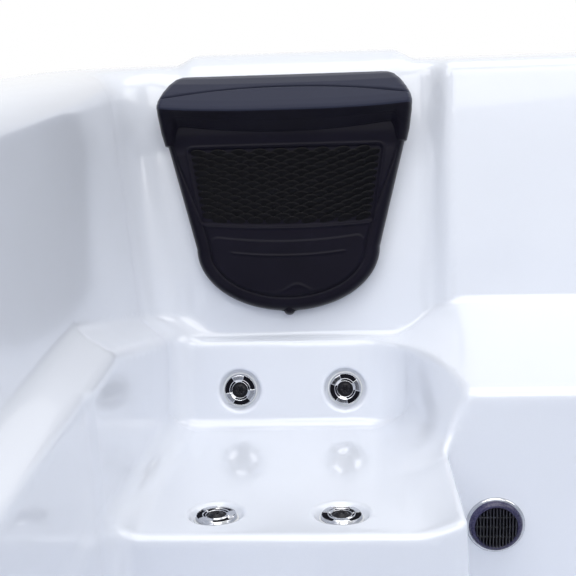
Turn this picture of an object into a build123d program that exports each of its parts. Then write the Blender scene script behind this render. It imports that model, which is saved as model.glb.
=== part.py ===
from build123d import *
import os
from math import atan2, cos, degrees, hypot, radians, sin, tan

# Four-seat hot tub: a moulded acrylic shell in a panelled cabinet, with headrest pillows,
# adjustable jets, a filter well in the rim, and the pump, heater and control box behind
# the access panel.
# Millimetres, +X right, +Y to the back, +Z up, origin under the middle of the base.
# The four seats mirror each other about both middle planes. "end" words measure along Y,
# towards the backs of the seats, and "side" words measure along X.

os.makedirs("parts", exist_ok=True)

# Rim and outer size
tub_size = 2000
corner_radius = 150
rim_round = 16
wall = 8
crest_height = 15
crest_x = 585
crest_half = 160
crest_foot_half = 195
rim_height = 905
skirt_drop = 45

# Upper well, from the armrests to the rim
arm_height = 490
well_side_low = 815
well_side_high = 860
well_end_low = 795
well_lean = 0.212
well_corner = 70
pilaster_half = 355
pilaster_depth = 20
middle_arm_half = 335
middle_arm_rise = 60
side_arm_rise = 110
side_arm_reach = 440

# Seats
seat_x = 595
seat_outer = 783
seat_arm_inner = 335
seat_side_slope = 0.574
seat_root_end = 741
seat_root_height = 358
lumbar_slope = 0.268
seat_slope = 0.135
seat_front = 336
seat_round = 32

# Footwell and the steps beside it
floor_height = 75
footwell_side = 560
cove_side = 383
cove_end = 560
side_step_height = 250
cove_corner = 6
footwell_corner = 60
well_draft = 3

# Jets
lumbar_spread = 82.5
lumbar_jet_height = 415
seat_jet_spread = 75
seat_jet_end = 404
dish_radius = 36
dish_floor_radius = 28
dish_depth = 10
boss_radius = 44
boss_depth = 18
jet_hole_radius = 20.5
face_radius = 25
stem_radius = 16.5
barrel_bore = 17
ball_radius = 10
ball_depth = 6

# Headrest pillows
pillow_x = 597
pillow_gap = 0.5
pillow_depth = 30
pillow_panel_rise = 6

# Filter well
filter_y = -790
filter_radius = 85
filter_floor = 520
filter_block_half = 130
filter_block_end = 690
window_half = 50
window_low = 790
window_high = 870
flap_y = -722
flap_hinge_height = 800

# Cabinet
panel_face = 985
panel_thickness = 23
panel_half = 838
panel_low = 8
panel_high = 855
cover_centre = 840
cover_radius = 145
cover_thickness = 20
post_width = 60
post_depth = 40
post_end = 866
rail_height = 60
base_thickness = 25
groove_count = 5
screw_radius = 2.1

# Equipment
pump_y = -790
pump_height = 125
conduit_radius = 14
conduit_along = 700
conduit_height = 120
drain_y = -700
drain_z = 110
drain_hole_radius = 26

# Inlets on the cove walls, and the controls on the rim
suction_x = 312
suction_height = 300
suction_radius = 40
suction_pipe_radius = 24
light_height = 330
light_radius = 50
control_x = 120
control_y = 895
keypad_x = 930
key_radius = 8
key_pitch = 30

seat_signs = [(-1, 1), (1, 1), (-1, -1), (1, -1)]
seat_names = {(-1, 1): "back_left", (1, 1): "back_right", (-1, -1): "front_left", (1, -1): "front_right"}


def save(part, name):
    """Label a finished piece and write it as its own file."""
    part.label = name
    export_step(part, f"parts/{name}.step")


def end_wall(z):
    """How far the leaning end wall stands from the middle at a height."""
    return well_end_low + (z - arm_height) * well_lean


def side_wall(z):
    """How far the leaning side wall stands from the middle at a height."""
    lean = (well_side_high - well_side_low) / (rim_height - arm_height)
    return well_side_low + (z - arm_height) * lean


def water_space(grow, high):
    """The hollow inside the shell up to a height, grown outwards by a wall thickness."""
    far = tub_size / 2
    one_seat = seat_space(grow)
    back_seats = [one_seat, mirror(one_seat, about=Plane.YZ)]
    seats = back_seats + [mirror(seat, about=Plane.XZ) for seat in back_seats]
    with BuildPart() as space:
        # Upper well, leaning out to the rim
        for z, z_grown in ((arm_height, arm_height - grow), (high, high)):
            with BuildSketch(Plane.XY.offset(z_grown)):
                RectangleRounded(2 * (side_wall(z) + grow), 2 * (end_wall(z) + grow), well_corner + grow)
        loft(ruled=True)
        for end in (-1, 1):
            # Pilaster between two pillow bays
            with BuildSketch(Plane.YZ):
                inner_low = end_wall(arm_height) - pilaster_depth + grow
                inner_high = end_wall(high) - pilaster_depth + grow
                Polygon(
                    (end * inner_low, arm_height - grow),
                    (end * inner_high, high),
                    (end * far, high),
                    (end * far, arm_height - grow),
                    align=None,
                )
            extrude(amount=pilaster_half - grow, both=True, mode=Mode.SUBTRACT)
            # Armrest between two seats, rising to the wall
            with BuildSketch(Plane.YZ):
                Polygon(
                    (end * (cove_end + grow), arm_height - 2 * grow),
                    (end * (cove_end + grow), arm_height - grow),
                    (end * well_end_low, arm_height + middle_arm_rise - grow),
                    (end * far, arm_height + middle_arm_rise - grow),
                    (end * far, arm_height - 2 * grow),
                    align=None,
                )
            extrude(amount=middle_arm_half - grow, both=True, mode=Mode.SUBTRACT)
        for side in (-1, 1):
            # Side armrest, highest over the step
            with BuildSketch(Plane.YZ.offset(side * (seat_outer + grow))):
                Polygon(
                    (-well_end_low, arm_height - 2 * grow),
                    (-well_end_low, arm_height - grow),
                    (-side_arm_reach, arm_height + side_arm_rise - grow),
                    (side_arm_reach, arm_height + side_arm_rise - grow),
                    (well_end_low, arm_height - grow),
                    (well_end_low, arm_height - 2 * grow),
                    align=None,
                )
            extrude(amount=side * 200, mode=Mode.SUBTRACT)
        # Block that houses the filter well
        block_mid = (filter_block_end + far) / 2
        block_reach = far - filter_block_end
        with BuildSketch(Plane.XY.offset(arm_height - 2 * grow)):
            with Locations((0, -block_mid - grow)):
                Rectangle(2 * (filter_block_half - grow), block_reach)
        extrude(amount=high, mode=Mode.SUBTRACT)
        add(seats)
        # Footwell, its two coves and the side steps
        foot_plane = Plane.XY.offset(floor_height - grow)
        open_height = arm_height + 30 - floor_height + grow
        with BuildSketch(foot_plane):
            narrowing = (arm_height - floor_height) * tan(radians(well_draft))
            low = narrowing - grow
            RectangleRounded(2 * (cove_side - low), 2 * (cove_end - low), cove_corner + grow)
            RectangleRounded(2 * (footwell_side - low), 2 * (seat_front - low), footwell_corner + grow)
        extrude(amount=open_height, taper=-well_draft)
        with BuildSketch(Plane.XY.offset(side_step_height - grow)):
            Rectangle(2 * (seat_outer + grow), 2 * (seat_front + grow))
        extrude(amount=arm_height + 30 - side_step_height + grow)
        # Filter well and its window to the water
        with BuildSketch(Plane.XY.offset(filter_floor - grow)):
            with Locations((0, filter_y)):
                Circle(filter_radius + grow)
        extrude(amount=high - filter_floor + grow)
        if grow == 0:
            with BuildSketch(Plane.XZ.offset(filter_block_end - 10)):
                with Locations((0, (window_low + window_high) / 2)):
                    RectangleRounded(2 * window_half, window_high - window_low, 12)
            extrude(amount=35)
    return space.part


def seat_space(grow):
    """The hollow of the seat at +X +Y: its side view and its front view, intersected."""
    open_height = arm_height + 30
    reach = 300
    lumbar_top = seat_root_end + (arm_height - seat_root_height) * lumbar_slope
    front_height = seat_root_height + (seat_root_end - reach) * seat_slope
    inner_low = seat_arm_inner + (arm_height - reach) * seat_side_slope
    inner_high = seat_arm_inner - (open_height - arm_height) * seat_side_slope
    with BuildPart() as seat:
        with BuildSketch(Plane.YZ.offset(250)):
            Polygon(
                (seat_root_end, seat_root_height),
                (lumbar_top, arm_height),
                (lumbar_top, open_height),
                (reach, open_height),
                (reach, front_height),
                align=None,
            )
            if grow:
                offset(amount=grow, kind=Kind.INTERSECTION)
        extrude(amount=600)
        with BuildSketch(Plane.XZ):
            Polygon(
                (seat_outer, reach),
                (seat_outer, open_height),
                (inner_high, open_height),
                (inner_low, reach),
                align=None,
            )
            if grow:
                offset(amount=grow, kind=Kind.INTERSECTION)
        extrude(amount=tub_size, both=True, mode=Mode.INTERSECT)
        fillet(seat.edges().filter_by(is_seat_corner), seat_round + grow)
    return seat.part


def is_seat_corner(edge):
    """True for the inside corners of the seat hollow, which are the rounded ones."""
    middle = edge.center()
    return middle.Y > seat_front - 6 and middle.Z < arm_height - 30


def lumbar_plane(side, end, x, height, depth=0):
    """Plane on a seat's back, facing the sitter, with its own up along the wall."""
    lean = hypot(1, lumbar_slope)
    normal = Vector(0, -end / lean, lumbar_slope / lean)
    y = end * (seat_root_end + (height - seat_root_height) * lumbar_slope)
    return Plane(origin=(side * x, y, height), x_dir=(end, 0, 0), z_dir=normal).offset(depth)


def seat_plane(side, end, x, y, depth=0):
    """Plane on a seat's bottom, facing up, with its own up towards the back."""
    lean = hypot(1, seat_slope)
    normal = Vector(0, end * seat_slope / lean, 1 / lean)
    height = seat_root_height + (seat_root_end - y) * seat_slope
    return Plane(origin=(side * x, end * y, height), x_dir=(end, 0, 0), z_dir=normal).offset(depth)


def pillow_plane(side, end, depth=0):
    """Plane on the wall above a seat, facing the sitter, with its own up along the wall."""
    lean = hypot(1, well_lean)
    normal = Vector(0, -end / lean, well_lean / lean)
    origin = (side * pillow_x, end * well_end_low, arm_height)
    return Plane(origin=origin, x_dir=(end, 0, 0), z_dir=normal).offset(depth)


def list_jets():
    """Name and plane maker of every jet: four in each back seat, two in each front seat."""
    jets = []
    for side, end in seat_signs:
        for x in (seat_x + lumbar_spread, seat_x - lumbar_spread):
            jets.append((side, end, lumbar_plane(side, end, x, lumbar_jet_height)))
        if end > 0:
            for x in (seat_x + seat_jet_spread, seat_x - seat_jet_spread):
                jets.append((side, end, seat_plane(side, end, x, seat_jet_end)))
    named = []
    counts = {}
    for side, end, plane in jets:
        place = seat_names[(side, end)]
        counts[place] = counts.get(place, 0) + 1
        named.append((f"{place}_{counts[place]}", plane))
    return named


jets = list_jets()
jet_planes = [plane for _, plane in jets]


def stub_directions(jets):
    """Way each jet's water stub points: down behind a lumbar jet, back under a seat jet."""
    return [-plane.y_dir if plane.z_dir.Z < 0.5 else plane.y_dir for _, plane in jets]


def offset_all(planes, depth):
    """The same planes, each moved along its own normal."""
    return [plane.offset(depth) for plane in planes]


def axial_plane(plane):
    """Plane that holds the normal of another, as its own up, for profiles to be turned."""
    return Plane(origin=plane.origin, x_dir=plane.x_dir, z_dir=-plane.y_dir)


def cove_plane(x, end, height):
    """Plane on the leaning end wall of a cove, facing the footwell."""
    draft = radians(well_draft)
    y = end * (cove_end - (arm_height - height) * tan(draft))
    return Plane(origin=(x, y, height), x_dir=(end, 0, 0), z_dir=(0, -end * cos(draft), sin(draft)))


suction_planes = [cove_plane(x, 1, suction_height) for x in (-suction_x, suction_x)]
light_plane = cove_plane(0, -1, light_height)
rim_plane = Plane.XY.offset(rim_height)
air_plane = Plane(origin=(-control_x, control_y, rim_height))
diverter_plane = Plane(origin=(control_x, control_y, rim_height))
air_hole_radius = 16
diverter_hole_radius = 22

# Shell: rim, skirt and the moulded well in one sheet
hole_start = wall + 4
hole_reach = wall + 6
pipe_hole_radius = suction_pipe_radius + 1
light_hole_radius = 21
shell_cut_height = arm_height - wall - 4
shell_block = tub_size / 2 + 100
outer_well = water_space(wall, rim_height - wall / 2)
inner_well = water_space(0, rim_height + crest_height + wall)
with BuildPart() as shell:
    with BuildSketch(Plane.XY.offset(rim_height - skirt_drop)):
        RectangleRounded(tub_size, tub_size, corner_radius)
    extrude(amount=skirt_drop)
    fillet(shell.edges().group_by(Axis.Z)[-1], rim_round)
    with BuildSketch(Plane.XY.offset(rim_height - skirt_drop)):
        RectangleRounded(tub_size - 2 * wall, tub_size - 2 * wall, corner_radius - wall)
    extrude(amount=skirt_drop - wall, mode=Mode.SUBTRACT)
    # Crests behind the pillows
    crest_end = tub_size / 2 - rim_round
    for drop, mode in ((0, Mode.ADD), (wall, Mode.SUBTRACT)):
        with BuildSketch(Plane.XZ):
            with Locations((-crest_x, rim_height - drop), (crest_x, rim_height - drop)):
                Polygon(
                    (-crest_foot_half, -wall / 2),
                    (-crest_foot_half, 0),
                    (-crest_half, crest_height),
                    (crest_half, crest_height),
                    (crest_foot_half, 0),
                    (crest_foot_half, -wall / 2),
                    align=None,
                )
        extrude(amount=crest_end - drop, both=True, mode=mode)
    # Well, with a thick boss behind every jet
    add(outer_well)
    with BuildSketch(*offset_all(jet_planes, -boss_depth)):
        Circle(boss_radius)
    extrude(amount=boss_depth)
    add(inner_well, mode=Mode.SUBTRACT)
    with BuildSketch(*offset_all(jet_planes, -dish_depth)):
        Circle(dish_floor_radius)
    dish_taper = degrees(atan2(dish_radius - dish_floor_radius, dish_depth))
    extrude(amount=dish_depth + 2, taper=-dish_taper, mode=Mode.SUBTRACT)
    with BuildSketch(*offset_all(jet_planes, -boss_depth - 1)):
        Circle(jet_hole_radius)
    extrude(amount=boss_depth, mode=Mode.SUBTRACT)
    # Holes for the suction fittings, the light and the rim controls
    with BuildSketch(*offset_all(suction_planes, -hole_start)):
        Circle(pipe_hole_radius)
    extrude(amount=hole_reach, mode=Mode.SUBTRACT)
    with BuildSketch(light_plane.offset(-hole_start)):
        Circle(light_hole_radius)
    extrude(amount=hole_reach, mode=Mode.SUBTRACT)
    with BuildSketch(air_plane.offset(-hole_start)):
        Circle(air_hole_radius)
    extrude(amount=hole_reach, mode=Mode.SUBTRACT)
    with BuildSketch(diverter_plane.offset(-hole_start)):
        Circle(diverter_hole_radius)
    extrude(amount=hole_reach, mode=Mode.SUBTRACT)
    # Drain of the filter well
    with BuildSketch(Plane.XY.offset(filter_floor - hole_start)):
        with Locations((0, filter_y)):
            Circle(pipe_hole_radius)
    extrude(amount=hole_reach, mode=Mode.SUBTRACT)
# One moulding, kept as eight touching solids that meet on the middle planes and just under
# the armrests, so that a simulator's convex pieces can follow each wall
shell_spans = ((0, shell_cut_height), (shell_cut_height, tub_size / 2))
shell_solids = []
for side, end in seat_signs:
    for low, high in shell_spans:
        place = Pos(side * shell_block / 2, end * shell_block / 2, (low + high) / 2)
        block = place * Box(shell_block, shell_block, high - low)
        shell_solids.extend(block.intersect(shell.part.solid()).solids())
save(Compound(shell_solids), "shell")

# Jets: one set of pieces at each plane, from the wall fitting to the swivelling nozzle
gasket_thickness = 1.5
flange_thickness = 2
flange_radius = 27
barrel_radius = 25
barrel_depth = 92
nut_depth = boss_depth + 10
stub_depth = 74
stub_radius = 13
stub_reach = 45
fitting_radius = 20
flange_low = -dish_depth + gasket_thickness
with BuildPart() as jet_bodies:
    with BuildSketch(*offset_all(jet_planes, flange_low)):
        Circle(flange_radius)
    extrude(amount=flange_thickness)
    with BuildSketch(*offset_all(jet_planes, -barrel_depth)):
        Circle(fitting_radius)
    extrude(amount=barrel_depth + flange_low)
    with BuildSketch(*offset_all(jet_planes, -barrel_depth)):
        Circle(barrel_radius)
    extrude(amount=barrel_depth - nut_depth - 4)
    stub_planes = [
        Plane(origin=plane.offset(-stub_depth).origin, x_dir=plane.x_dir, z_dir=stub_direction)
        for plane, stub_direction in zip(jet_planes, stub_directions(jets))
    ]
    with BuildSketch(*stub_planes):
        Circle(stub_radius)
    extrude(amount=stub_reach)
    with BuildSketch(*offset_all(jet_planes, -barrel_depth + 5)):
        Circle(barrel_bore)
    extrude(amount=barrel_depth, mode=Mode.SUBTRACT)
    with BuildSketch(*stub_planes):
        Circle(stub_radius - 3)
    extrude(amount=stub_reach, mode=Mode.SUBTRACT)
save(jet_bodies.part, "jet_bodies")

with BuildPart() as jet_gaskets:
    with BuildSketch(*offset_all(jet_planes, -dish_depth)):
        Circle(flange_radius - 1)
        Circle(jet_hole_radius, mode=Mode.SUBTRACT)
    extrude(amount=gasket_thickness)
save(jet_gaskets.part, "jet_gaskets")

with BuildPart() as jet_nuts:
    with BuildSketch(*offset_all(jet_planes, -nut_depth)):
        RegularPolygon(31, 8)
        Circle(fitting_radius + 0.1, mode=Mode.SUBTRACT)
    extrude(amount=nut_depth - boss_depth)
save(jet_nuts.part, "jet_nuts")

slot_radius = 18.5
slot_width = 5.5
slot_path = CenterArc((0, 0), slot_radius, -28, 56)


def make_jet_face(plane):
    """Turning escutcheon: a domed disc with three slots on a hollow stem."""
    axis = Axis(plane.origin, plane.z_dir)
    with BuildPart() as face:
        with BuildSketch(axial_plane(plane)):
            Polygon(
                (7, -28),
                (stem_radius, -28),
                (stem_radius, -6),
                (face_radius, -6),
                (face_radius, -3.4),
                (face_radius - 2, -1.4),
                (13, -0.6),
                (9.6, -2.2),
                (7, -6),
                align=None,
            )
        revolve(axis=axis)
        with BuildSketch(plane.offset(-3.2)):
            with PolarLocations(0, 3):
                SlotArc(slot_path, slot_width)
        extrude(amount=4, mode=Mode.SUBTRACT)
        with Locations(plane.offset(-ball_depth)):
            Sphere(ball_radius + 0.4, mode=Mode.SUBTRACT)
    return face.part


def make_nozzle(plane):
    """Swivelling ball with a flat front and a straight bore."""
    with BuildPart() as nozzle:
        with Locations(plane.offset(-ball_depth)):
            Sphere(ball_radius)
        split(bisect_by=plane.offset(0.8), keep=Keep.BOTTOM)
        with BuildSketch(plane.offset(2)):
            Circle(3.5)
        extrude(amount=-20, mode=Mode.SUBTRACT)
    return nozzle.part


for jet_name, plane in jets:
    save(make_jet_face(plane), f"jet_face_{jet_name}")
    save(make_nozzle(plane), f"jet_nozzle_{jet_name}")

# Headrest pillows: a crowned body with a raised panel, under a visor that leans out
body_top = 318
body_top_half = 187
body_side_low = 140
body_side_half = 142.6
body_low = 42
nub_radius = 9
visor_half = 189
visor_top = 408
visor_top_half = 147
visor_nose = 357
visor_reach = 74


def pillow_outline(inset, top):
    """Flat outline of the pillow body: straight sides and a half-ellipse below."""
    half_low = body_side_half - inset
    half_top = body_top_half - inset
    with BuildSketch(mode=Mode.PRIVATE) as outline:
        with BuildLine():
            Polyline((-half_low, body_side_low), (-half_top, top), (half_top, top), (half_low, body_side_low))
            EllipticalCenterArc(
                (0, body_side_low), half_low, body_side_low - body_low - inset, start_angle=180, arc_size=180
            )
        make_face()
    return outline.sketch


def make_pillow(side, end):
    """One pillow on the wall above a seat."""
    back = pillow_plane(side, end, pillow_gap)
    with BuildPart() as pillow:
        with BuildSketch(back):
            add(pillow_outline(0, body_top))
        extrude(amount=pillow_depth)
        rim_edges = pillow.edges().filter_by(lambda e: on_plane(e, back.offset(pillow_depth)))
        fillet(rim_edges, 8)
        with BuildSketch(back):
            with Locations((0, body_low)):
                Circle(nub_radius)
        extrude(amount=pillow_depth - 10)
        with BuildSketch(back.offset(pillow_depth)):
            add(pillow_outline(26, body_top - 14))
        extrude(amount=pillow_panel_rise)
        panel_face = back.offset(pillow_depth + pillow_panel_rise)
        panel_edges = pillow.edges().filter_by(lambda e: on_plane(e, panel_face))
        fillet(panel_edges, 4)
        # Visor: its side view, cut to its front view
        with BuildSketch(visor_side_plane(side, end)):
            Polygon(
                (pillow_gap, body_top - 14),
                (46, body_top),
                (visor_reach, visor_nose - 12),
                (visor_reach + 4, visor_nose),
                (44, visor_top - 16),
                (26, visor_top),
                (pillow_gap, visor_top),
                align=None,
            )
        extrude(amount=visor_half, both=True)
        with BuildSketch(back):
            Polygon(
                (-visor_top_half, visor_top + 1),
                (visor_top_half, visor_top + 1),
                (visor_half - 14, visor_top - 16),
                (visor_half, visor_nose + 14),
                (visor_half - 2, visor_nose - 8),
                (body_top_half - 1, body_top - 14),
                (body_top_half - 1, -10),
                (-body_top_half + 1, -10),
                (-body_top_half + 1, body_top - 14),
                (-visor_half + 2, visor_nose - 8),
                (-visor_half, visor_nose + 14),
                (-visor_half + 14, visor_top - 16),
                align=None,
            )
        extrude(amount=visor_reach + 10, mode=Mode.INTERSECT)
    return pillow.part


def visor_side_plane(side, end):
    """Plane across the middle of a pillow: x runs off the wall and y runs up the wall."""
    plane = pillow_plane(side, end)
    return Plane(origin=plane.origin, x_dir=plane.z_dir, z_dir=-plane.x_dir)


def on_plane(edge, plane):
    """True for an edge that lies in a plane."""
    ends = [edge.position_at(t) for t in (0, 0.3, 1)]
    return all(abs((point - plane.origin).dot(plane.z_dir)) < 0.01 for point in ends)


for side, end in seat_signs:
    save(make_pillow(side, end), f"pillow_{seat_names[(side, end)]}")

# Filter well: collar, weir flap, cartridge and lid
collar_radius = filter_radius - 1
collar_bore = 80
collar_lip_radius = 100
collar_lip_thickness = 4
collar_low = 770
flap_half = 36
flap_high = 62
flap_pin_radius = 2.5
flap_pin_half = 47
hinge_centre = (0, flap_y, flap_hinge_height)
hinge_plane = Plane(origin=hinge_centre, x_dir=(0, 1, 0), z_dir=(1, 0, 0))
with BuildPart() as filter_collar:
    with BuildSketch(Plane.XY.offset(collar_low)):
        with Locations((0, filter_y)):
            Circle(collar_radius)
    extrude(amount=rim_height - collar_low + collar_lip_thickness)
    with BuildSketch(rim_plane):
        with Locations((0, filter_y)):
            Circle(collar_lip_radius)
    extrude(amount=collar_lip_thickness)
    with BuildSketch(Plane.XY.offset(collar_low - 1)):
        with Locations((0, filter_y)):
            Circle(collar_bore)
    extrude(amount=tub_size / 10, mode=Mode.SUBTRACT)
    with BuildSketch(Plane.XZ.offset(-filter_y - collar_bore / 2)):
        with Locations((0, (window_low + window_high) / 2)):
            Rectangle(2 * flap_half + 4, window_high - window_low)
    extrude(amount=-collar_bore, mode=Mode.SUBTRACT)
    with BuildSketch(hinge_plane):
        Circle(flap_pin_radius + 0.2)
    extrude(amount=flap_pin_half + 1, both=True, mode=Mode.SUBTRACT)
save(filter_collar.part, "filter_collar")

with BuildPart() as weir_flap:
    with BuildSketch(hinge_plane):
        with Locations((0, flap_high / 2)):
            RectangleRounded(4, flap_high, 1.5)
        Circle(4)
    extrude(amount=flap_half, both=True)
    with BuildSketch(hinge_plane):
        Circle(flap_pin_radius)
    extrude(amount=flap_pin_half, both=True)
save(weir_flap.part, "weir_flap")

cartridge_radius = 65
cartridge_height = 230
pleats = 40
with BuildPart() as filter_cartridge:
    with BuildSketch(Plane.XY.offset(filter_floor)):
        with Locations((0, filter_y)):
            Circle(cartridge_radius)
            Circle(22, mode=Mode.SUBTRACT)
    extrude(amount=cartridge_height)
    with BuildSketch(Plane.XY.offset(filter_floor + 12)):
        with Locations((0, filter_y)):
            with PolarLocations(cartridge_radius, pleats):
                Rectangle(16, 4.5)
    extrude(amount=cartridge_height - 24, mode=Mode.SUBTRACT)
save(filter_cartridge.part, "filter_cartridge")

lid_low = rim_height + collar_lip_thickness
with BuildPart() as filter_lid:
    with BuildSketch(Plane.XY.offset(lid_low)):
        with Locations((0, filter_y)):
            Circle(collar_lip_radius - 1)
    extrude(amount=9)
    fillet(filter_lid.edges().group_by(Axis.Z)[-1], 3)
    with BuildSketch(Plane.XY.offset(lid_low)):
        with Locations((0, filter_y)):
            Circle(collar_bore - 1.5)
            Circle(collar_bore - 6, mode=Mode.SUBTRACT)
    extrude(amount=-8)
    with BuildSketch(Plane.XY.offset(lid_low + 5)):
        with Locations((0, filter_y + 55), (0, filter_y - 55)):
            SlotOverall(60, 18)
    extrude(amount=8, mode=Mode.SUBTRACT)
save(filter_lid.part, "filter_lid")

# Keypad on the side rim, with three sprung buttons
keypad_plane = Plane(origin=(keypad_x, 0, rim_height))
keypad_height = 9
keypad_top = 3
key_spots = [(0, -key_pitch - 20), (0, -20), (0, key_pitch - 20)]
with BuildPart() as keypad:
    with BuildSketch(keypad_plane):
        RectangleRounded(58, 150, 12)
    extrude(amount=keypad_height)
    fillet(keypad.edges().group_by(Axis.Z)[-1], 2)
    with BuildSketch(keypad_plane):
        RectangleRounded(46, 136, 8)
    extrude(amount=keypad_height - keypad_top, mode=Mode.SUBTRACT)
    with BuildSketch(keypad_plane):
        with Locations(*key_spots):
            Circle(key_radius + 0.4)
    extrude(amount=keypad_height, mode=Mode.SUBTRACT)
    with BuildSketch(keypad_plane.offset(keypad_height - 1)):
        with Locations((0, 42)):
            RectangleRounded(30, 40, 3)
    extrude(amount=1, mode=Mode.SUBTRACT)
save(keypad.part, "keypad")

button_names = ("button_cooler", "button_warmer", "button_jets")
for button_name, spot in zip(button_names, key_spots):
    button_plane = Plane(origin=keypad_plane.from_local_coords(Vector(*spot)))
    with BuildPart() as button:
        with BuildSketch(button_plane.offset(4)):
            Circle(key_radius + 1.5)
        extrude(amount=1.5)
        with BuildSketch(button_plane.offset(4)):
            Circle(key_radius)
        extrude(amount=keypad_height - 2.5)
        fillet(button.edges().group_by(Axis.Z)[-1], 1)
    save(button.part, button_name)

# Air control and diverter handles on the back rim
knob_gap = 2.2
valve_lip_thickness = 1.8
air_stem_radius = 8
diverter_stem_radius = 12
valve_depth = 60
with BuildPart() as air_knob:
    with BuildSketch(air_plane.offset(knob_gap)):
        Circle(22)
    extrude(amount=11)
    fillet(air_knob.edges().group_by(Axis.Z)[-1], 3)
    with BuildSketch(air_plane.offset(knob_gap)):
        with PolarLocations(22, 12):
            Circle(2.4)
    extrude(amount=12, mode=Mode.SUBTRACT)
    with BuildSketch(air_plane.offset(knob_gap)):
        Circle(air_stem_radius)
    extrude(amount=-30)
save(air_knob.part, "air_knob")

with BuildPart() as diverter_handle:
    with BuildSketch(diverter_plane.offset(knob_gap)):
        Circle(28)
    extrude(amount=6)
    with BuildSketch(diverter_plane.offset(knob_gap)):
        SlotOverall(74, 18)
    extrude(amount=12.5)
    fillet(diverter_handle.edges().group_by(Axis.Z)[-1], 3)
    with BuildSketch(diverter_plane.offset(knob_gap)):
        Circle(diverter_stem_radius)
    extrude(amount=-34)
save(diverter_handle.part, "diverter_handle")

# Suction covers: a ring and a slotted dome on a tail pipe
cover_ring_thickness = 6
dome_radius = 33
dome_height = 16
dome_slots = 7
tail_reach = 52
with BuildPart() as suction_covers:
    with BuildSketch(*suction_planes):
        Circle(suction_radius)
    extrude(amount=cover_ring_thickness)
    with BuildSketch(*suction_planes):
        Circle(dome_radius)
    extrude(amount=dome_height, taper=12)
    with BuildSketch(*suction_planes):
        Circle(suction_pipe_radius)
    extrude(amount=-tail_reach)
    with BuildSketch(*offset_all(suction_planes, -tail_reach)):
        Circle(suction_pipe_radius - 3)
    extrude(amount=tail_reach + 5, mode=Mode.SUBTRACT)
    with BuildSketch(*offset_all(suction_planes, 4)):
        with GridLocations(7, 0, dome_slots, 1):
            Rectangle(3.2, 44)
    extrude(amount=dome_height, mode=Mode.SUBTRACT)
save(suction_covers.part, "suction_covers")

with BuildPart() as light_lens:
    with BuildSketch(light_plane):
        Circle(light_radius)
    extrude(amount=9, taper=30)
    with BuildSketch(light_plane):
        Circle(20)
    extrude(amount=-26)
save(light_lens.part, "light_lens")

# Cabinet: base pan, framing, panels and corner covers
side_directions = {"front": (0, -1, 0), "back": (0, 1, 0), "left": (-1, 0, 0), "right": (1, 0, 0)}


def side_plane(side, distance):
    """Upright plane at a distance from the middle, facing out of one side of the cabinet."""
    outward = Vector(*side_directions[side])
    return Plane(origin=outward * distance, x_dir=Vector(0, 0, 1).cross(outward), z_dir=outward)


panel_back = panel_face - panel_thickness
cover_bore = cover_radius - cover_thickness
screw_sides = ("back", "left", "right")
outer_post = post_end - post_width / 2
inner_post = 290
screw_heights = (60, 800)
post_spots = (-outer_post, -inner_post, inner_post, outer_post)
panel_screw_spots = [(x, z) for x in (-808, -inner_post, inner_post, 808) for z in screw_heights]
cover_screw_spots = [(x, z) for x in (-856, 856) for z in screw_heights]

with BuildPart() as base_pan:
    with BuildSketch(Plane.XY):
        RectangleRounded(2 * panel_back, 2 * panel_back, cover_bore - 3)
    extrude(amount=base_thickness)
save(base_pan.part, "base_pan")

with BuildPart() as frame_posts:
    post_height = rim_height - wall - rail_height - base_thickness
    for side in side_directions:
        with BuildSketch(side_plane(side, panel_back - post_depth)):
            with Locations(*[(x, base_thickness + post_height / 2) for x in post_spots]):
                Rectangle(post_width, post_height)
        extrude(amount=post_depth)
        holes = cover_screw_spots + (panel_screw_spots if side in screw_sides else [])
        with BuildSketch(side_plane(side, panel_back - 16)):
            with Locations(*holes):
                Circle(screw_radius)
        extrude(amount=20, mode=Mode.SUBTRACT)
save(frame_posts.part, "frame_posts")

with BuildPart() as top_rails:
    for side in side_directions:
        length = 2 * post_end
        with BuildSketch(side_plane(side, panel_back - post_depth)):
            with Locations((0, rim_height - wall - rail_height / 2)):
                Rectangle(length, rail_height)
        extrude(amount=post_depth)
save(top_rails.part, "top_rails")

with BuildPart() as floor_bearers:
    with BuildSketch(Plane.XY.offset(base_thickness)):
        with GridLocations(0, 420, 1, 3):
            Rectangle(700, 90)
    extrude(amount=floor_height - wall - base_thickness)
save(floor_bearers.part, "floor_bearers")


def make_panel(side, screwed):
    """Grooved cabinet panel for one side."""
    middle = (panel_low + panel_high) / 2
    height = panel_high - panel_low
    with BuildPart() as panel:
        with BuildSketch(side_plane(side, panel_back)):
            with Locations((0, middle)):
                Rectangle(2 * panel_half, height)
        extrude(amount=panel_thickness)
        with BuildSketch(side_plane(side, panel_face - 3)):
            with Locations((0, middle)):
                with GridLocations(0, height / (groove_count + 1), 1, groove_count):
                    Rectangle(2 * panel_half, 5)
        extrude(amount=4, mode=Mode.SUBTRACT)
        if screwed:
            with BuildSketch(side_plane(side, panel_back - 1)):
                with Locations(*panel_screw_spots):
                    Circle(screw_radius)
            extrude(amount=panel_thickness + 2, mode=Mode.SUBTRACT)
        if side == "left":
            with BuildSketch(side_plane(side, panel_back - 1)):
                with Locations((conduit_along, conduit_height)):
                    Circle(conduit_radius)
            extrude(amount=panel_thickness + 2, mode=Mode.SUBTRACT)
        if side == "right":
            with BuildSketch(side_plane(side, panel_back - 1)):
                with Locations((drain_y, drain_z)):
                    Circle(drain_hole_radius)
            extrude(amount=panel_thickness + 2, mode=Mode.SUBTRACT)
    return panel.part


save(make_panel("front", False), "access_panel")
save(make_panel("back", True), "back_panel")
save(make_panel("left", True), "side_panel_left")
save(make_panel("right", True), "side_panel_right")

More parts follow.
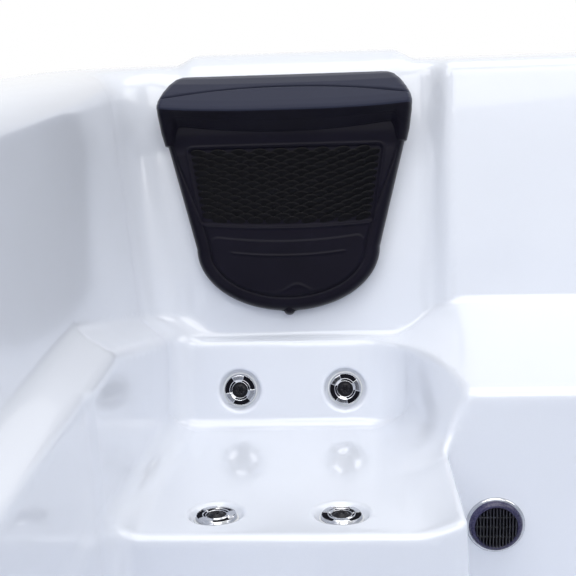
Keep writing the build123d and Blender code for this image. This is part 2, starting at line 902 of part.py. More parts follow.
with BuildPart() as one_cover:
    with BuildSketch(Plane.XY.offset(panel_low)):
        with Locations((cover_centre, cover_centre)):
            Circle(cover_radius)
            Circle(cover_bore, mode=Mode.SUBTRACT)
            Rectangle(200, 200, align=(Align.MIN, Align.MIN), mode=Mode.INTERSECT)
    extrude(amount=panel_high - panel_low)
with BuildPart() as corner_covers:
    add(one_cover.part)
    mirror(about=Plane.YZ)
    mirror(about=Plane.XZ)
    for side in side_directions:
        with BuildSketch(side_plane(side, panel_back - 1)):
            with Locations(*cover_screw_spots):
                Circle(screw_radius)
        extrude(amount=panel_thickness + 2, mode=Mode.SUBTRACT)
save(corner_covers.part, "corner_covers")

with BuildPart() as cabinet_screws:
    for side in side_directions:
        spots = cover_screw_spots + (panel_screw_spots if side in screw_sides else [])
        with BuildSketch(side_plane(side, panel_back - 15)):
            with Locations(*spots):
                Circle(screw_radius)
        extrude(amount=panel_thickness + 16)
        with BuildSketch(side_plane(side, panel_face)):
            with Locations(*spots):
                Circle(4.5)
        extrude(amount=2.5, taper=20)
save(cabinet_screws.part, "cabinet_screws")

# Pump, with its motor standing on a foot
pump_x = -580
wet_half = 40
wet_radius = 84
motor_radius = 72
motor_length = 260
port_radius = 30
motor_plane = Plane(origin=(pump_x + wet_half, pump_y, pump_height), x_dir=(0, 1, 0), z_dir=(1, 0, 0))
with BuildPart() as pump_wet_end:
    with BuildSketch(motor_plane):
        Circle(wet_radius)
        with Locations((wet_radius - port_radius, 60)):
            Rectangle(2 * port_radius, 120)
    extrude(amount=-2 * wet_half)
    with BuildSketch(motor_plane.offset(-2 * wet_half)):
        Circle(port_radius)
    extrude(amount=-35)
save(pump_wet_end.part, "pump_wet_end")

with BuildPart() as pump_motor:
    with BuildSketch(motor_plane):
        Circle(motor_radius - 4)
        with PolarLocations(motor_radius - 4, 24):
            Rectangle(8, 4)
    extrude(amount=motor_length - 45)
    with BuildSketch(motor_plane.offset(motor_length - 45)):
        Circle(motor_radius)
    extrude(amount=45)
    fillet(pump_motor.edges().group_by(Axis.X)[-1], 8)
    with BuildSketch(Plane.XY.offset(base_thickness)):
        with Locations((pump_x + wet_half + 110, pump_y)):
            Rectangle(150, 110)
    extrude(amount=12)
    with BuildSketch(Plane.XY.offset(base_thickness)):
        with Locations((pump_x + wet_half + 110, pump_y)):
            Rectangle(110, 70)
    extrude(amount=pump_height - base_thickness - motor_radius / 2)
save(pump_motor.part, "pump_motor")

# Heater tube on two cradles, and the control box beside it
heater_y = pump_y + wet_radius - port_radius
heater_height = 110
heater_start = -20
heater_length = 380
heater_plane = Plane(origin=(heater_start, heater_y, heater_height), x_dir=(0, 1, 0), z_dir=(1, 0, 0))
with BuildPart() as heater:
    with BuildSketch(heater_plane):
        Circle(32)
    extrude(amount=heater_length)
    with BuildSketch(heater_plane, heater_plane.offset(heater_length - 34)):
        RegularPolygon(42, 8)
    extrude(amount=34)
    with BuildSketch(Plane.XY.offset(base_thickness)):
        with Locations((heater_start + 90, heater_y), (heater_start + heater_length - 90, heater_y)):
            Rectangle(24, 80)
    extrude(amount=heater_height - base_thickness)
    with BuildSketch(heater_plane.offset(-1)):
        Circle(25)
    extrude(amount=heater_length + 2, mode=Mode.SUBTRACT)
save(heater.part, "heater")

with BuildPart() as control_box:
    with BuildSketch(Plane.XY.offset(base_thickness)):
        with Locations((160, -862)):
            RectangleRounded(320, 104, 10)
    extrude(amount=250)
    fillet(control_box.edges().group_by(Axis.Z)[-1], 6)
    with BuildSketch(Plane.XZ.offset(914 - 3)):
        with Locations((160, 150)):
            RectangleRounded(290, 220, 6)
            RectangleRounded(282, 212, 5, mode=Mode.SUBTRACT)
    extrude(amount=5, mode=Mode.SUBTRACT)
save(control_box.part, "control_box")

# Pipework: a suction net to the pump and a pressure net from it to the jets, with the
# capped drain and the valve bodies under the two rim controls
main_x = 740
pipe_radius = 24
hose_radius = 13
pipe_wall = 3
pipe_bend = 50
hose_bend = 25
suction_run_y = 690
suction_run_z = 297
manifold_y = 640
manifold_z = 230
manifold_end_x = -705
filter_run_y = -680
filter_run_z = 320
discharge_z = 300
drain_pipe_radius = 16
drain_pipe_end = 975


def make_bar(points, radius, bend):
    """Round bar along a bent route."""
    with BuildPart() as bar:
        with BuildLine() as path:
            if len(points) > 2:
                FilletPolyline(*points, radius=bend)
            else:
                Line(*points)
        with BuildSketch(path.line ^ 0):
            Circle(radius)
        sweep()
    return bar.part


def make_net(pipes, caps):
    """Hollow net: all the bars are joined before any bore is cut, and caps stay solid."""
    outer = [make_bar(points, radius, bend) for points, radius, bend in pipes]
    bores = [make_bar(points, radius - pipe_wall, bend) for points, radius, bend in pipes]
    plugs = [make_bar(points, radius, bend) for points, radius, bend in caps]
    with BuildPart() as net:
        add(outer)
        add(bores, mode=Mode.SUBTRACT)
        if plugs:
            add(plugs)
    return net.part


def hose_points(plane, stub):
    """Route of one hose, from the end of a jet's stub down to the manifold."""
    start = stub.offset(stub_reach).origin
    end = 1 if start.Y > 0 else -1
    meeting = (start.X, end * manifold_y, manifold_z)
    if plane.z_dir.Z < 0.5:
        leaving = stub.offset(stub_reach + hose_radius + 17).origin
        return [start, leaving, Vector(leaving.X, leaving.Y, manifold_z), meeting]
    run = (end * manifold_y - start.Y) / stub.z_dir.Y
    return [start, stub.offset(stub_reach + run).origin, meeting]


left_tail, right_tail = [plane.offset(-tail_reach).origin for plane in suction_planes]
left_turn = (left_tail.X, suction_run_y, suction_run_z)
suction_pipes = [
    (
        [
            left_tail,
            left_turn,
            (-main_x, suction_run_y, suction_run_z),
            (-main_x, suction_run_y, pump_height),
            (-main_x, pump_y, pump_height),
            (pump_x - wet_half - 35, pump_y, pump_height),
        ],
        pipe_radius,
        pipe_bend,
    ),
    (
        [
            right_tail,
            (right_tail.X, suction_run_y, suction_run_z),
            (left_tail.X - 2 * pipe_bend, suction_run_y, suction_run_z),
        ],
        pipe_radius,
        pipe_bend,
    ),
    (
        [
            (0, filter_y, filter_floor),
            (0, filter_y, filter_run_z),
            (0, filter_run_y, filter_run_z),
            (-main_x, filter_run_y, filter_run_z),
            (-main_x, filter_run_y, pump_height),
        ],
        pipe_radius,
        pipe_bend,
    ),
]
pressure_pipes = [
    (
        [
            (pump_x, heater_y, pump_height + 120),
            (pump_x, heater_y, discharge_z),
            (heater_start - 90, heater_y, discharge_z),
            (heater_start - 90, heater_y, heater_height),
            (heater_start, heater_y, heater_height),
        ],
        pipe_radius,
        pipe_bend,
    ),
]
manifold_pipes = [
    (
        [
            (heater_start + heater_length, heater_y, heater_height),
            (main_x, heater_y, heater_height),
            (main_x, manifold_y, heater_height),
            (main_x, manifold_y, manifold_z),
            (manifold_end_x, manifold_y, manifold_z),
        ],
        pipe_radius,
        pipe_bend,
    ),
    (
        [
            (main_x, -manifold_y, heater_height),
            (main_x, -manifold_y, manifold_z),
            (manifold_end_x, -manifold_y, manifold_z),
        ],
        pipe_radius,
        pipe_bend,
    ),
    ([(main_x, drain_y, drain_z), (drain_pipe_end, drain_y, drain_z)], drain_pipe_radius, 0),
]
hoses = [
    (hose_points(plane, stub), hose_radius, hose_bend) for plane, stub in zip(jet_planes, stub_planes)
]
manifold_caps = [
    ([(manifold_end_x, y, manifold_z), (manifold_end_x - 6, y, manifold_z)], pipe_radius, 0)
    for y in (-manifold_y, manifold_y)
]
suction_net = make_net(suction_pipes, [])
discharge_pipe = make_net(pressure_pipes, [])
pressure_net = make_net(manifold_pipes + hoses, manifold_caps)
with BuildPart() as valve_bodies:
    for plane, hole, stem in (
        (air_plane, air_hole_radius, air_stem_radius),
        (diverter_plane, diverter_hole_radius, diverter_stem_radius),
    ):
        with BuildSketch(plane):
            Circle(hole + 6)
        extrude(amount=valve_lip_thickness)
        with BuildSketch(plane):
            Circle(hole - 1)
        extrude(amount=-valve_depth)
        with BuildSketch(plane.offset(-valve_depth + 6)):
            Circle(stem + 0.4)
        extrude(amount=valve_depth, mode=Mode.SUBTRACT)
with BuildPart() as pipework:
    add([suction_net, discharge_pipe, pressure_net, valve_bodies.part])
save(pipework.part, "pipework")

with BuildPart() as drain_cap:
    with BuildSketch(side_plane("right", drain_pipe_end - 10)):
        with Locations((drain_y, drain_z)):
            Circle(21)
            with PolarLocations(21, 10):
                Circle(2, mode=Mode.SUBTRACT)
    extrude(amount=30)
    with BuildSketch(side_plane("right", drain_pipe_end - 10)):
        with Locations((drain_y, drain_z)):
            Circle(drain_pipe_radius + 0.5)
    extrude(amount=18, mode=Mode.SUBTRACT)
save(drain_cap.part, "drain_cap")
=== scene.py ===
"""A hot tub for four: moulded acrylic bowl, head pillows, jets, cabinet and fittings."""

import math

import bmesh
import bpy
import numpy as np
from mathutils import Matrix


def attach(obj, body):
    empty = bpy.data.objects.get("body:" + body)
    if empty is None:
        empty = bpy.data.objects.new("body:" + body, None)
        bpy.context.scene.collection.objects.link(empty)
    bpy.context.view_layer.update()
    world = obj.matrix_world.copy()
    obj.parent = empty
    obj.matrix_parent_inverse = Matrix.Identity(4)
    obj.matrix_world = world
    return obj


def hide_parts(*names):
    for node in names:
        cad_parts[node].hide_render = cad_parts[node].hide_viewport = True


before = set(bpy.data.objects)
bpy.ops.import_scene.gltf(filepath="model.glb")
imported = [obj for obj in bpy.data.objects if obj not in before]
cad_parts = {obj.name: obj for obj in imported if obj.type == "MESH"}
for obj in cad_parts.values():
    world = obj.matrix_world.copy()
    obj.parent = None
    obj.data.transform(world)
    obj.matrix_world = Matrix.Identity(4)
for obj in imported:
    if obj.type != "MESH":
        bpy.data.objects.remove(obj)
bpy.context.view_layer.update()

import openvdb
from mathutils import Matrix, Vector

MM = 0.001

# Camera

CAMERA_PLACE = Vector((-0.515, -0.551, 0.958))
CAMERA_YAW = math.radians(-3.55)
CAMERA_PITCH = math.radians(16.07)
CAMERA_ROLL = math.radians(-2.03)
CAMERA_LENS = 56.25


def add_camera():
    """The camera stands over the front left seat and looks at the back left one."""
    ahead = Vector(
        (
            math.sin(CAMERA_YAW) * math.cos(CAMERA_PITCH),
            math.cos(CAMERA_YAW) * math.cos(CAMERA_PITCH),
            -math.sin(CAMERA_PITCH),
        )
    )
    level = Vector((math.cos(CAMERA_YAW), -math.sin(CAMERA_YAW), 0))
    upright = level.cross(ahead)
    right = math.cos(CAMERA_ROLL) * level + math.sin(CAMERA_ROLL) * upright
    up = -math.sin(CAMERA_ROLL) * level + math.cos(CAMERA_ROLL) * upright
    lens = bpy.data.cameras.new("camera")
    lens.lens = CAMERA_LENS
    lens.sensor_width = 36
    lens.clip_start = 0.01
    lens.clip_end = 50
    camera = bpy.data.objects.new("camera", lens)
    bpy.context.scene.collection.objects.link(camera)
    turned = Matrix((right, up, -ahead)).transposed().to_4x4()
    camera.matrix_world = Matrix.Translation(CAMERA_PLACE) @ turned
    bpy.context.scene.camera = camera


add_camera()

# Shader arithmetic


class Wire:
    """One output of a material's nodes, with arithmetic on it."""

    def __init__(self, tree, socket):
        self.tree = tree
        self.socket = socket

    def calculate(self, operation, *others):
        node = self.tree.nodes.new("ShaderNodeMath")
        node.operation = operation
        for place, value in enumerate((self, *others)):
            put(self.tree, node.inputs[place], value)
        return Wire(self.tree, node.outputs[0])

    def __add__(self, other):
        return self.calculate("ADD", other)

    __radd__ = __add__

    def __mul__(self, other):
        return self.calculate("MULTIPLY", other)

    __rmul__ = __mul__

    def __sub__(self, other):
        return self.calculate("SUBTRACT", other)

    def __rsub__(self, other):
        return (self * -1) + other

    def __truediv__(self, other):
        return self.calculate("DIVIDE", other)

    def power(self, other):
        return self.calculate("POWER", other)

    def above(self, other):
        return self.calculate("GREATER_THAN", other)

    def absolute(self):
        return self.calculate("ABSOLUTE")

    def spread(self, low, high, new_low=0.0, new_high=1.0):
        """The same values stretched from one span to another, kept inside it."""
        node = self.tree.nodes.new("ShaderNodeMapRange")
        for place, value in enumerate((self, low, high, new_low, new_high)):
            put(self.tree, node.inputs[place], value)
        return Wire(self.tree, node.outputs[0])


def put(tree, socket, value):
    """Links a wire to a socket, or writes a plain value there."""
    if isinstance(value, Wire):
        tree.links.new(value.socket, socket)
    elif isinstance(value, (tuple, list)) and len(value) == 3 and socket.type == "RGBA":
        socket.default_value = (*value, 1)
    else:
        socket.default_value = value


class Finish:
    """A material with one principled shader, and what feeds it."""

    def __init__(self, name, **plain):
        self.material = bpy.data.materials.new(name)
        self.material.use_nodes = True
        self.tree = self.material.node_tree
        self.shader = self.tree.nodes["Principled BSDF"]
        for socket, value in plain.items():
            self.feed(socket.replace("_", " "), value)

    def feed(self, socket, value):
        put(self.tree, self.shader.inputs[socket], value)

    def node(self, kind, settings=None, output=0, **inputs):
        """Any other node: its type, its settings, and its inputs by name."""
        node = self.tree.nodes.new(kind)
        for name, value in (settings or {}).items():
            setattr(node, name, value)
        for name, value in inputs.items():
            put(self.tree, node.inputs[name.replace("_", " ")], value)
        return Wire(self.tree, node.outputs[output])

    def place(self, stretch=(1, 1, 1)):
        """Where a point lies on the object, stretched for grain."""
        point = self.node("ShaderNodeTexCoord", output="Object")
        return self.node("ShaderNodeMapping", Vector=point, Scale=stretch)

    def noise(self, scale, detail=2.0, roughness=0.5, stretch=(1, 1, 1)):
        return self.node(
            "ShaderNodeTexNoise",
            Vector=self.place(stretch),
            Scale=scale,
            Detail=detail,
            Roughness=roughness,
        )

    def blend(self, share, first, second):
        """Two colours mixed."""
        node = self.tree.nodes.new("ShaderNodeMix")
        node.data_type = "RGBA"
        put(self.tree, node.inputs["Factor"], share)
        put(self.tree, node.inputs[6], first)
        put(self.tree, node.inputs[7], second)
        return Wire(self.tree, node.outputs[2])

    def bump(self, height, strength, distance):
        """A fine relief that the shader reads as its normal."""
        self.feed(
            "Normal",
            self.node("ShaderNodeBump", Height=height, Strength=strength, Distance=distance),
        )


def acrylic():
    """Pearly white sheet acrylic under a clear gloss."""
    finish = Finish("acrylic", Coat_Roughness=0.03, Specular_IOR_Level=0.5)
    cloud = finish.noise(2.2, detail=3)
    pearl = finish.noise(900, detail=1)
    shade = finish.blend(cloud.spread(0.35, 0.65), (0.735, 0.765, 0.835), (0.755, 0.785, 0.855))
    finish.feed("Base Color", finish.blend(pearl.spread(0.4, 0.7) * 0.08, shade, (0.9, 0.92, 0.97)))
    finish.feed("Roughness", finish.noise(6).spread(0.3, 0.7, 0.16, 0.24))
    finish.feed("Coat Weight", 0.42)
    finish.bump(finish.noise(14, detail=1), 0.05, 0.004)
    return finish.material


def foam():
    """Moulded closed-cell foam with a fine skin, near black with a violet cast, with painted light on the visor's top:
    a lighter, bluer colour there.
    """
    finish = Finish("pillow_foam", Specular_IOR_Level=0.09, Sheen_Weight=0.15, Sheen_Roughness=0.3)
    grain = finish.noise(1500, detail=2, roughness=0.6)
    cloud = finish.noise(9, detail=3)
    shade = finish.blend(cloud.spread(0.3, 0.7), (0.0034, 0.0029, 0.0076), (0.0052, 0.0045, 0.0108))
    # Painted light: the visor's top rows are blended to a lighter, bluer colour, standing in for the sky and lamps
    # catching that upward face.
    painted_top_light = finish.node("ShaderNodeAttribute", {"attribute_name": "painted_top_light"}, output="Fac")
    finish.feed("Base Color", finish.blend(painted_top_light, shade, (0.026, 0.029, 0.050)))
    finish.feed("Roughness", grain.spread(0.3, 0.7, 0.32, 0.44))
    finish.bump(grain, 0.16, 0.0004)
    return finish.material


def relief_foam():
    """The pressed scales: the same foam with a darker base colour, painted shade for the shade in the relief, and
    shinier on its crests.
    """
    finish = Finish("relief_foam", Specular_IOR_Level=0.12)
    grain = finish.noise(1500, detail=2, roughness=0.6)
    # Painted shade: a darker copy of the pillow foam's colour, for the shade among the pressed scales.
    finish.feed("Base Color", finish.blend(grain.spread(0.3, 0.7), (0.0014, 0.0013, 0.0022), (0.0026, 0.0024, 0.0038)))
    finish.feed("Roughness", grain.spread(0.3, 0.7, 0.24, 0.34))
    finish.bump(grain, 0.10, 0.0003)
    return finish.material


def chrome():
    """Plated plastic: bright, with the faint waves of a moulding."""
    finish = Finish("jet_chrome", Metallic=1.0)
    wave = finish.noise(60, detail=2)
    finish.feed("Base Color", finish.blend(wave.spread(0.3, 0.7), (0.50, 0.51, 0.54), (0.60, 0.61, 0.64)))
    finish.feed("Roughness", finish.noise(300).spread(0.3, 0.7, 0.10, 0.18))
    finish.bump(wave, 0.10, 0.0008)
    return finish.material


def plastic(name, dark, light, low=0.3, high=0.45, grain=420, height=0.0002, strength=0.15, shine=0.5):
    """Moulded plastic with a fine grain: two close colours and a span of roughness."""
    finish = Finish(name, Specular_IOR_Level=shine)
    cloud = finish.noise(18, detail=3)
    finish.feed("Base Color", finish.blend(cloud.spread(0.3, 0.7), dark, light))
    pebble = finish.noise(grain, detail=2)
    finish.feed("Roughness", pebble.spread(0.3, 0.7, low, high))
    finish.bump(pebble, strength, height)
    return finish.material


def metal(name, dark, light, low=0.25, high=0.4, stretch=(1, 1, 30)):
    """Brushed metal: streaks along one way."""
    finish = Finish(name, Metallic=1.0)
    streak = finish.noise(40, detail=3, stretch=stretch)
    finish.feed("Base Color", finish.blend(streak.spread(0.3, 0.7), dark, light))
    finish.feed("Roughness", streak.spread(0.3, 0.7, low, high))
    finish.bump(streak, 0.12, 0.0002)
    return finish.material


def timber_board(name, dark, light, stretch, low=0.5, high=0.7, strength=0.35):
    """Sawn or moulded wood grain that runs along one way."""
    finish = Finish(name)
    warp = finish.noise(3, detail=2, stretch=stretch)
    fibre = finish.noise(26, detail=6, roughness=0.62, stretch=stretch)
    ring = finish.node(
        "ShaderNodeTexWave",
        {"wave_type": "BANDS", "bands_direction": "DIAGONAL"},
        Vector=finish.place(stretch),
        Scale=2.4,
        Distortion=9.0,
        Detail=3.0,
        Detail_Scale=1.4,
    )
    tone = fibre.spread(0.3, 0.72) * 0.65 + ring * 0.25 + warp * 0.1
    finish.feed("Base Color", finish.blend(tone, dark, light))
    finish.feed("Roughness", tone.spread(0.1, 0.9, low, high))
    finish.bump(fibre * 0.7 + ring * 0.3, strength, 0.0012)
    return finish.material


def clear_lens():
    """Frosted clear plastic over the light, with fine rings."""
    finish = Finish("lens_clear", IOR=1.49, Coat_Roughness=0.02)
    haze = finish.noise(200, detail=2)
    finish.feed("Base Color", finish.blend(haze, (0.62, 0.68, 0.74), (0.78, 0.83, 0.87)))
    finish.feed("Roughness", haze.spread(0.3, 0.7, 0.10, 0.22))
    finish.feed("Coat Weight", 0.5)
    finish.bump(haze, 0.2, 0.0006)
    return finish.material


def cloth(name):
    """Pleated filter cloth."""
    finish = Finish(name, Sheen_Weight=0.3)
    weave = finish.noise(700, detail=2)
    finish.feed("Base Color", finish.blend(weave.spread(0.3, 0.7), (0.62, 0.66, 0.70), (0.78, 0.81, 0.84)))
    finish.feed("Roughness", weave.spread(0.3, 0.7, 0.75, 0.95))
    finish.bump(weave, 0.4, 0.0006)
    return finish.material


ALONG_Z = (14, 14, 1)
PAINT = {
    "acrylic": acrylic(),
    "pillow_foam": foam(),
    "relief_foam": relief_foam(),
    "jet_chrome": chrome(),
    "nozzle_black": plastic("nozzle_black", (0.004, 0.004, 0.007), (0.007, 0.007, 0.011), 0.25, 0.38, shine=0.22),
    # Painted shade: near-black matte floors in the jets' slots, the nozzles' holes and under the suction grille's ribs,
    # standing in for the dark inside of open holes.
    "painted_hole_shade": plastic("painted_hole_shade", (0.002, 0.002, 0.005), (0.004, 0.004, 0.008), 0.5, 0.7, shine=0.1),
    "fitting_white": plastic("fitting_white", (0.72, 0.74, 0.76), (0.80, 0.81, 0.83)),
    "gasket_rubber": plastic("gasket_rubber", (0.014, 0.014, 0.015), (0.022, 0.022, 0.023), 0.6, 0.8),
    "pump_black": plastic("pump_black", (0.012, 0.012, 0.013), (0.020, 0.020, 0.022), 0.4, 0.55),
    "motor_grey": plastic("motor_grey", (0.10, 0.11, 0.12), (0.14, 0.15, 0.16), 0.4, 0.5, 900),
    "heater_steel": metal("heater_steel", (0.46, 0.47, 0.49), (0.60, 0.61, 0.63)),
    "box_grey": plastic("box_grey", (0.20, 0.21, 0.22), (0.26, 0.27, 0.28), 0.45, 0.6),
    "pipe_white": plastic("pipe_white", (0.68, 0.70, 0.71), (0.76, 0.77, 0.78), 0.3, 0.4),
    "trim_grey": plastic("trim_grey", (0.13, 0.14, 0.155), (0.18, 0.19, 0.205), 0.35, 0.5),
    "filter_cloth": cloth("filter_cloth"),
    "keypad_black": plastic("keypad_black", (0.008, 0.008, 0.010), (0.014, 0.014, 0.017), 0.18, 0.28),
    "button_grey": plastic("button_grey", (0.30, 0.31, 0.33), (0.38, 0.39, 0.41), 0.4, 0.55),
    "grille_black": plastic("grille_black", (0.008, 0.008, 0.012), (0.016, 0.016, 0.024), 0.3, 0.42),
    "ring_indigo": plastic("ring_indigo", (0.020, 0.018, 0.055), (0.034, 0.030, 0.085), 0.22, 0.34),
    "lens_clear": clear_lens(),
    "panel": timber_board("panel", (0.022, 0.023, 0.026), (0.070, 0.072, 0.078), ALONG_Z),
    "corner_trim": timber_board("corner_trim", (0.014, 0.015, 0.017), (0.040, 0.042, 0.046), ALONG_Z),
    "base_plastic": plastic("base_plastic", (0.018, 0.019, 0.021), (0.030, 0.031, 0.034), 0.5, 0.65, 160, 0.0006, 0.3),
    "timber": timber_board("timber", (0.42, 0.27, 0.14), (0.62, 0.44, 0.26), ALONG_Z),
    "screw_steel": metal("screw_steel", (0.50, 0.51, 0.53), (0.64, 0.65, 0.67), stretch=(1, 1, 1)),
}

# Mesh helpers


def add_mesh(name, points, faces, finishes, body, replaced=(), which=None, smooth=True):
    """A finished piece: a mesh at the origin, riding on a body of the frame."""
    mesh = bpy.data.meshes.new(name)
    mesh.from_pydata([tuple(p) for p in points], [], [tuple(f) for f in faces])
    piece = bpy.data.objects.new(name, mesh)
    bpy.context.scene.collection.objects.link(piece)
    for finish in finishes:
        mesh.materials.append(PAINT[finish])
    if which is not None:
        mesh.polygons.foreach_set("material_index", np.asarray(which, dtype=np.int32))
    mesh.polygons.foreach_set("use_smooth", [smooth] * len(mesh.polygons))
    mesh.validate()
    mesh.update()
    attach(piece, body)
    if replaced:
        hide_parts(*replaced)
    return piece


def from_bmesh(built, name, finishes, body, replaced=()):
    """The same for a shape made in bmesh, with its doubles merged and faces outwards."""
    bmesh.ops.remove_doubles(built, verts=built.verts, dist=1e-6)
    bmesh.ops.recalc_face_normals(built, faces=built.faces)
    mesh = bpy.data.meshes.new(name)
    built.to_mesh(mesh)
    built.free()
    for finish in finishes:
        mesh.materials.append(PAINT[finish])
    piece = bpy.data.objects.new(name, mesh)
    bpy.context.scene.collection.objects.link(piece)
    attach(piece, body)
    if replaced:
        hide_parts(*replaced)
    return piece


def standing_on(origin, normal, side):
    """The matrix of a plane: side lies along it, normal points out of it."""
    out = Vector(normal).normalized()
    across = Vector(side).normalized()
    up = out.cross(across)
    return Matrix.Translation(Vector(origin)) @ Matrix((across, up, out)).transposed().to_4x4()


# The acrylic bowl, as a distance field in millimetres

CORNER_RADIUS = 150
TUB_HALF = 1000
RIM_HEIGHT = 905
CREST_HEIGHT = 15
SKIRT_FOOT = 860
ARM_HEIGHT = 490
WALL_LEAN = 0.212
SIDE_LEAN = 0.108
DRAFT_LEAN = 0.0524
LUMBAR_SLOPE = 0.268
SEAT_SLOPE = 0.135
LUMBAR_LENGTH = math.hypot(1, LUMBAR_SLOPE)
SEAT_LENGTH = math.hypot(1, SEAT_SLOPE)
LUMBAR_JETS = (677.5, 512.5)
SEAT_JETS = (670.0, 520.0)
LUMBAR_JET_Y = 756.276
LUMBAR_JET_Z = 415.0
SEAT_JET_Y = 404.0
SEAT_JET_Z = 403.495
HOLE_RADIUS = 20.5
SKIN = 7.0


def larger(a, b, soft):
    """The larger of two distances with their edge rounded over."""
    near = np.maximum(soft - np.abs(a - b), 0) / soft
    return np.maximum(a, b) + near * near * soft * 0.25


def smaller(a, b, soft):
    return -larger(-a, -b, soft)


def corner(a, b, radius):
    """The overlap of two half spaces, with a round edge of this radius."""
    u = a + radius
    v = b + radius
    both = (u > 0) & (v > 0)
    return np.where(both, np.hypot(np.maximum(u, 0), np.maximum(v, 0)) - radius, np.maximum(a, b))


def ease(value, low, high):
    """A smooth step from 0 to 1."""
    share = np.clip((value - low) / (high - low), 0, 1)
    return share * share * (3 - 2 * share)


def tub_well(x, y, z):
    """The open water space above the armrests, with the raised parts that stand in it."""
    up = z - ARM_HEIGHT
    ledge_top = ARM_HEIGHT - 6 + 104 * np.clip((795 - y) / 355, 0, 1)
    open_side = 815 + up * SIDE_LEAN
    side = (x - (769 + (open_side - 769) * ease(z - ledge_top, -16, 46))) * 0.9
    end = (y - (795 + up * WALL_LEAN)) * 0.978
    well = corner(side, end, 70)
    pilaster = corner(x - 355, -(end + 20), 14)
    well = larger(well, -pilaster, 40)
    arm_top = 60 * np.clip((y - 560) / 235, 0, 1.2) * ease(440 - x, 0, 115)
    return corner(well, (ARM_HEIGHT + arm_top - z) * 0.9, 7)


def arm_side(y):
    """The middle armrest widens towards the back wall."""
    return 335 + 98 * np.clip((y - 530) / 230, 0, 1.2)


def tub_seat(x, y, z):
    """One seat bay, from its lumbar wall to its front edge, with the armrest's side."""
    lumbar = (y - (741 + (z - 358) * LUMBAR_SLOPE)) * 0.966
    bottom = ((358 + (741 - y) * SEAT_SLOPE) - z) * 0.991
    lean = 0.574 * (1 - ease(y, 500, 760))
    inner = (arm_side(y) + lean * np.maximum(493 - z, 0) - x) * 0.867
    bay = corner(corner(lumbar, bottom, 17), x - 783, 40)
    return corner(bay, inner, 50)


def tub_footwell(x, y, z):
    """The space for the feet, the coves at its ends and the steps at its sides."""
    draft = (ARM_HEIGHT - z) * DRAFT_LEAN
    foot = corner(corner(x - (560 - draft), y - (336 - draft), 60), 75 - z, 40)
    cove = corner(corner(x - (383 - draft), y - (560 - draft), 22), 75 - z, 40)
    step = corner(corner(x - 783, y - 336, 30), 250 - z, 30)
    return smaller(smaller(foot, cove, 16), step, 16)


def tub_filter(x, y, water):
    """The filter's block stands in the water at the front, with a round pocket in it."""
    block = corner(x - 130, y + 690, 20)
    return larger(water, -block, 16)


def jet_planes(x, y, z):
    """For each kind of jet: the distance from its axis, and the height over its wall."""
    found = []
    for place in LUMBAR_JETS:
        dx, dy, dz = x - place, np.abs(y) - LUMBAR_JET_Y, z - LUMBAR_JET_Z
        height = (dz * LUMBAR_SLOPE - dy) / LUMBAR_LENGTH
        found.append((np.sqrt(np.maximum(dx * dx + dy * dy + dz * dz - height * height, 0)), height))
    for place in SEAT_JETS:
        dx, dy, dz = x - place, y - SEAT_JET_Y, z - SEAT_JET_Z
        height = (dz + dy * SEAT_SLOPE) / SEAT_LENGTH
        found.append((np.sqrt(np.maximum(dx * dx + dy * dy + dz * dz - height * height, 0)), height))
    return found


def bowl(across, along, z):
    """Below 0 inside a solid block with the water space taken out of it."""
    x = np.abs(across)
    y = np.abs(along)
    water = smaller(tub_well(x, y, z), tub_seat(x, y, z), 9)
    water = smaller(water, tub_footwell(x, y, z), 14)
    water = tub_filter(x, along, water)
    pocket = corner(np.hypot(x, along + 790) - 85, 520 - z, 12)
    window = np.maximum(np.maximum(x - 50, np.abs(z - 830) - 40), np.abs(along + 700) - 32)
    water = np.minimum(water, pocket)
    water = smaller(water, window, 6)
    for reach, height in jet_planes(x, along, z):
        dish = (reach - 29 - (height + 10) * 0.5) * 0.89
        water = smaller(water, np.maximum(corner(dish, -10 - height, 3), height - 8), 3.5)
    in_bay = ease(x, 380, 440) * (1 - ease(x, 752, 832))
    crest = ease(x, 390, 428) * (1 - ease(x, 742, 780))
    outside = corner(x - TUB_HALF, y - TUB_HALF, CORNER_RADIUS)
    far_corner = ease(x, 800, 930) * ease(y, 560, 800)
    block = corner(outside, z - RIM_HEIGHT - CREST_HEIGHT * crest, 16 + 12 * far_corner)
    return larger(block, -water, 22 + 40 * in_bay + 26 * ease(x, 790, 860))


def slope(points, reach=0.4):
    """The distance and its gradient at each point."""
    value = bowl(*points.T)
    gradient = np.empty_like(points)
    for axis in range(3):
        ahead, behind = points.copy(), points.copy()
        ahead[:, axis] += reach
        behind[:, axis] -= reach
        gradient[:, axis] = (bowl(*ahead.T) - bowl(*behind.T)) / (2 * reach)
    return value, gradient


def settle(points, held, rounds=4):
    """Moves points onto the surface; held ones keep their coordinate on a cut."""
    for _ in range(rounds):
        value, gradient = slope(points)
        gradient = np.where(held, 0, gradient)
        steep = np.maximum((gradient**2).sum(1), 0.05)
        move = -(value / steep)[:, None] * gradient
        length = np.linalg.norm(move, axis=1)[:, None]
        points = points + move * np.minimum(1, 4 / np.maximum(length, 1e-9))
    return points


CELL = 10
GRID_FOOT = 52.0
FINE_ROUNDS = 2


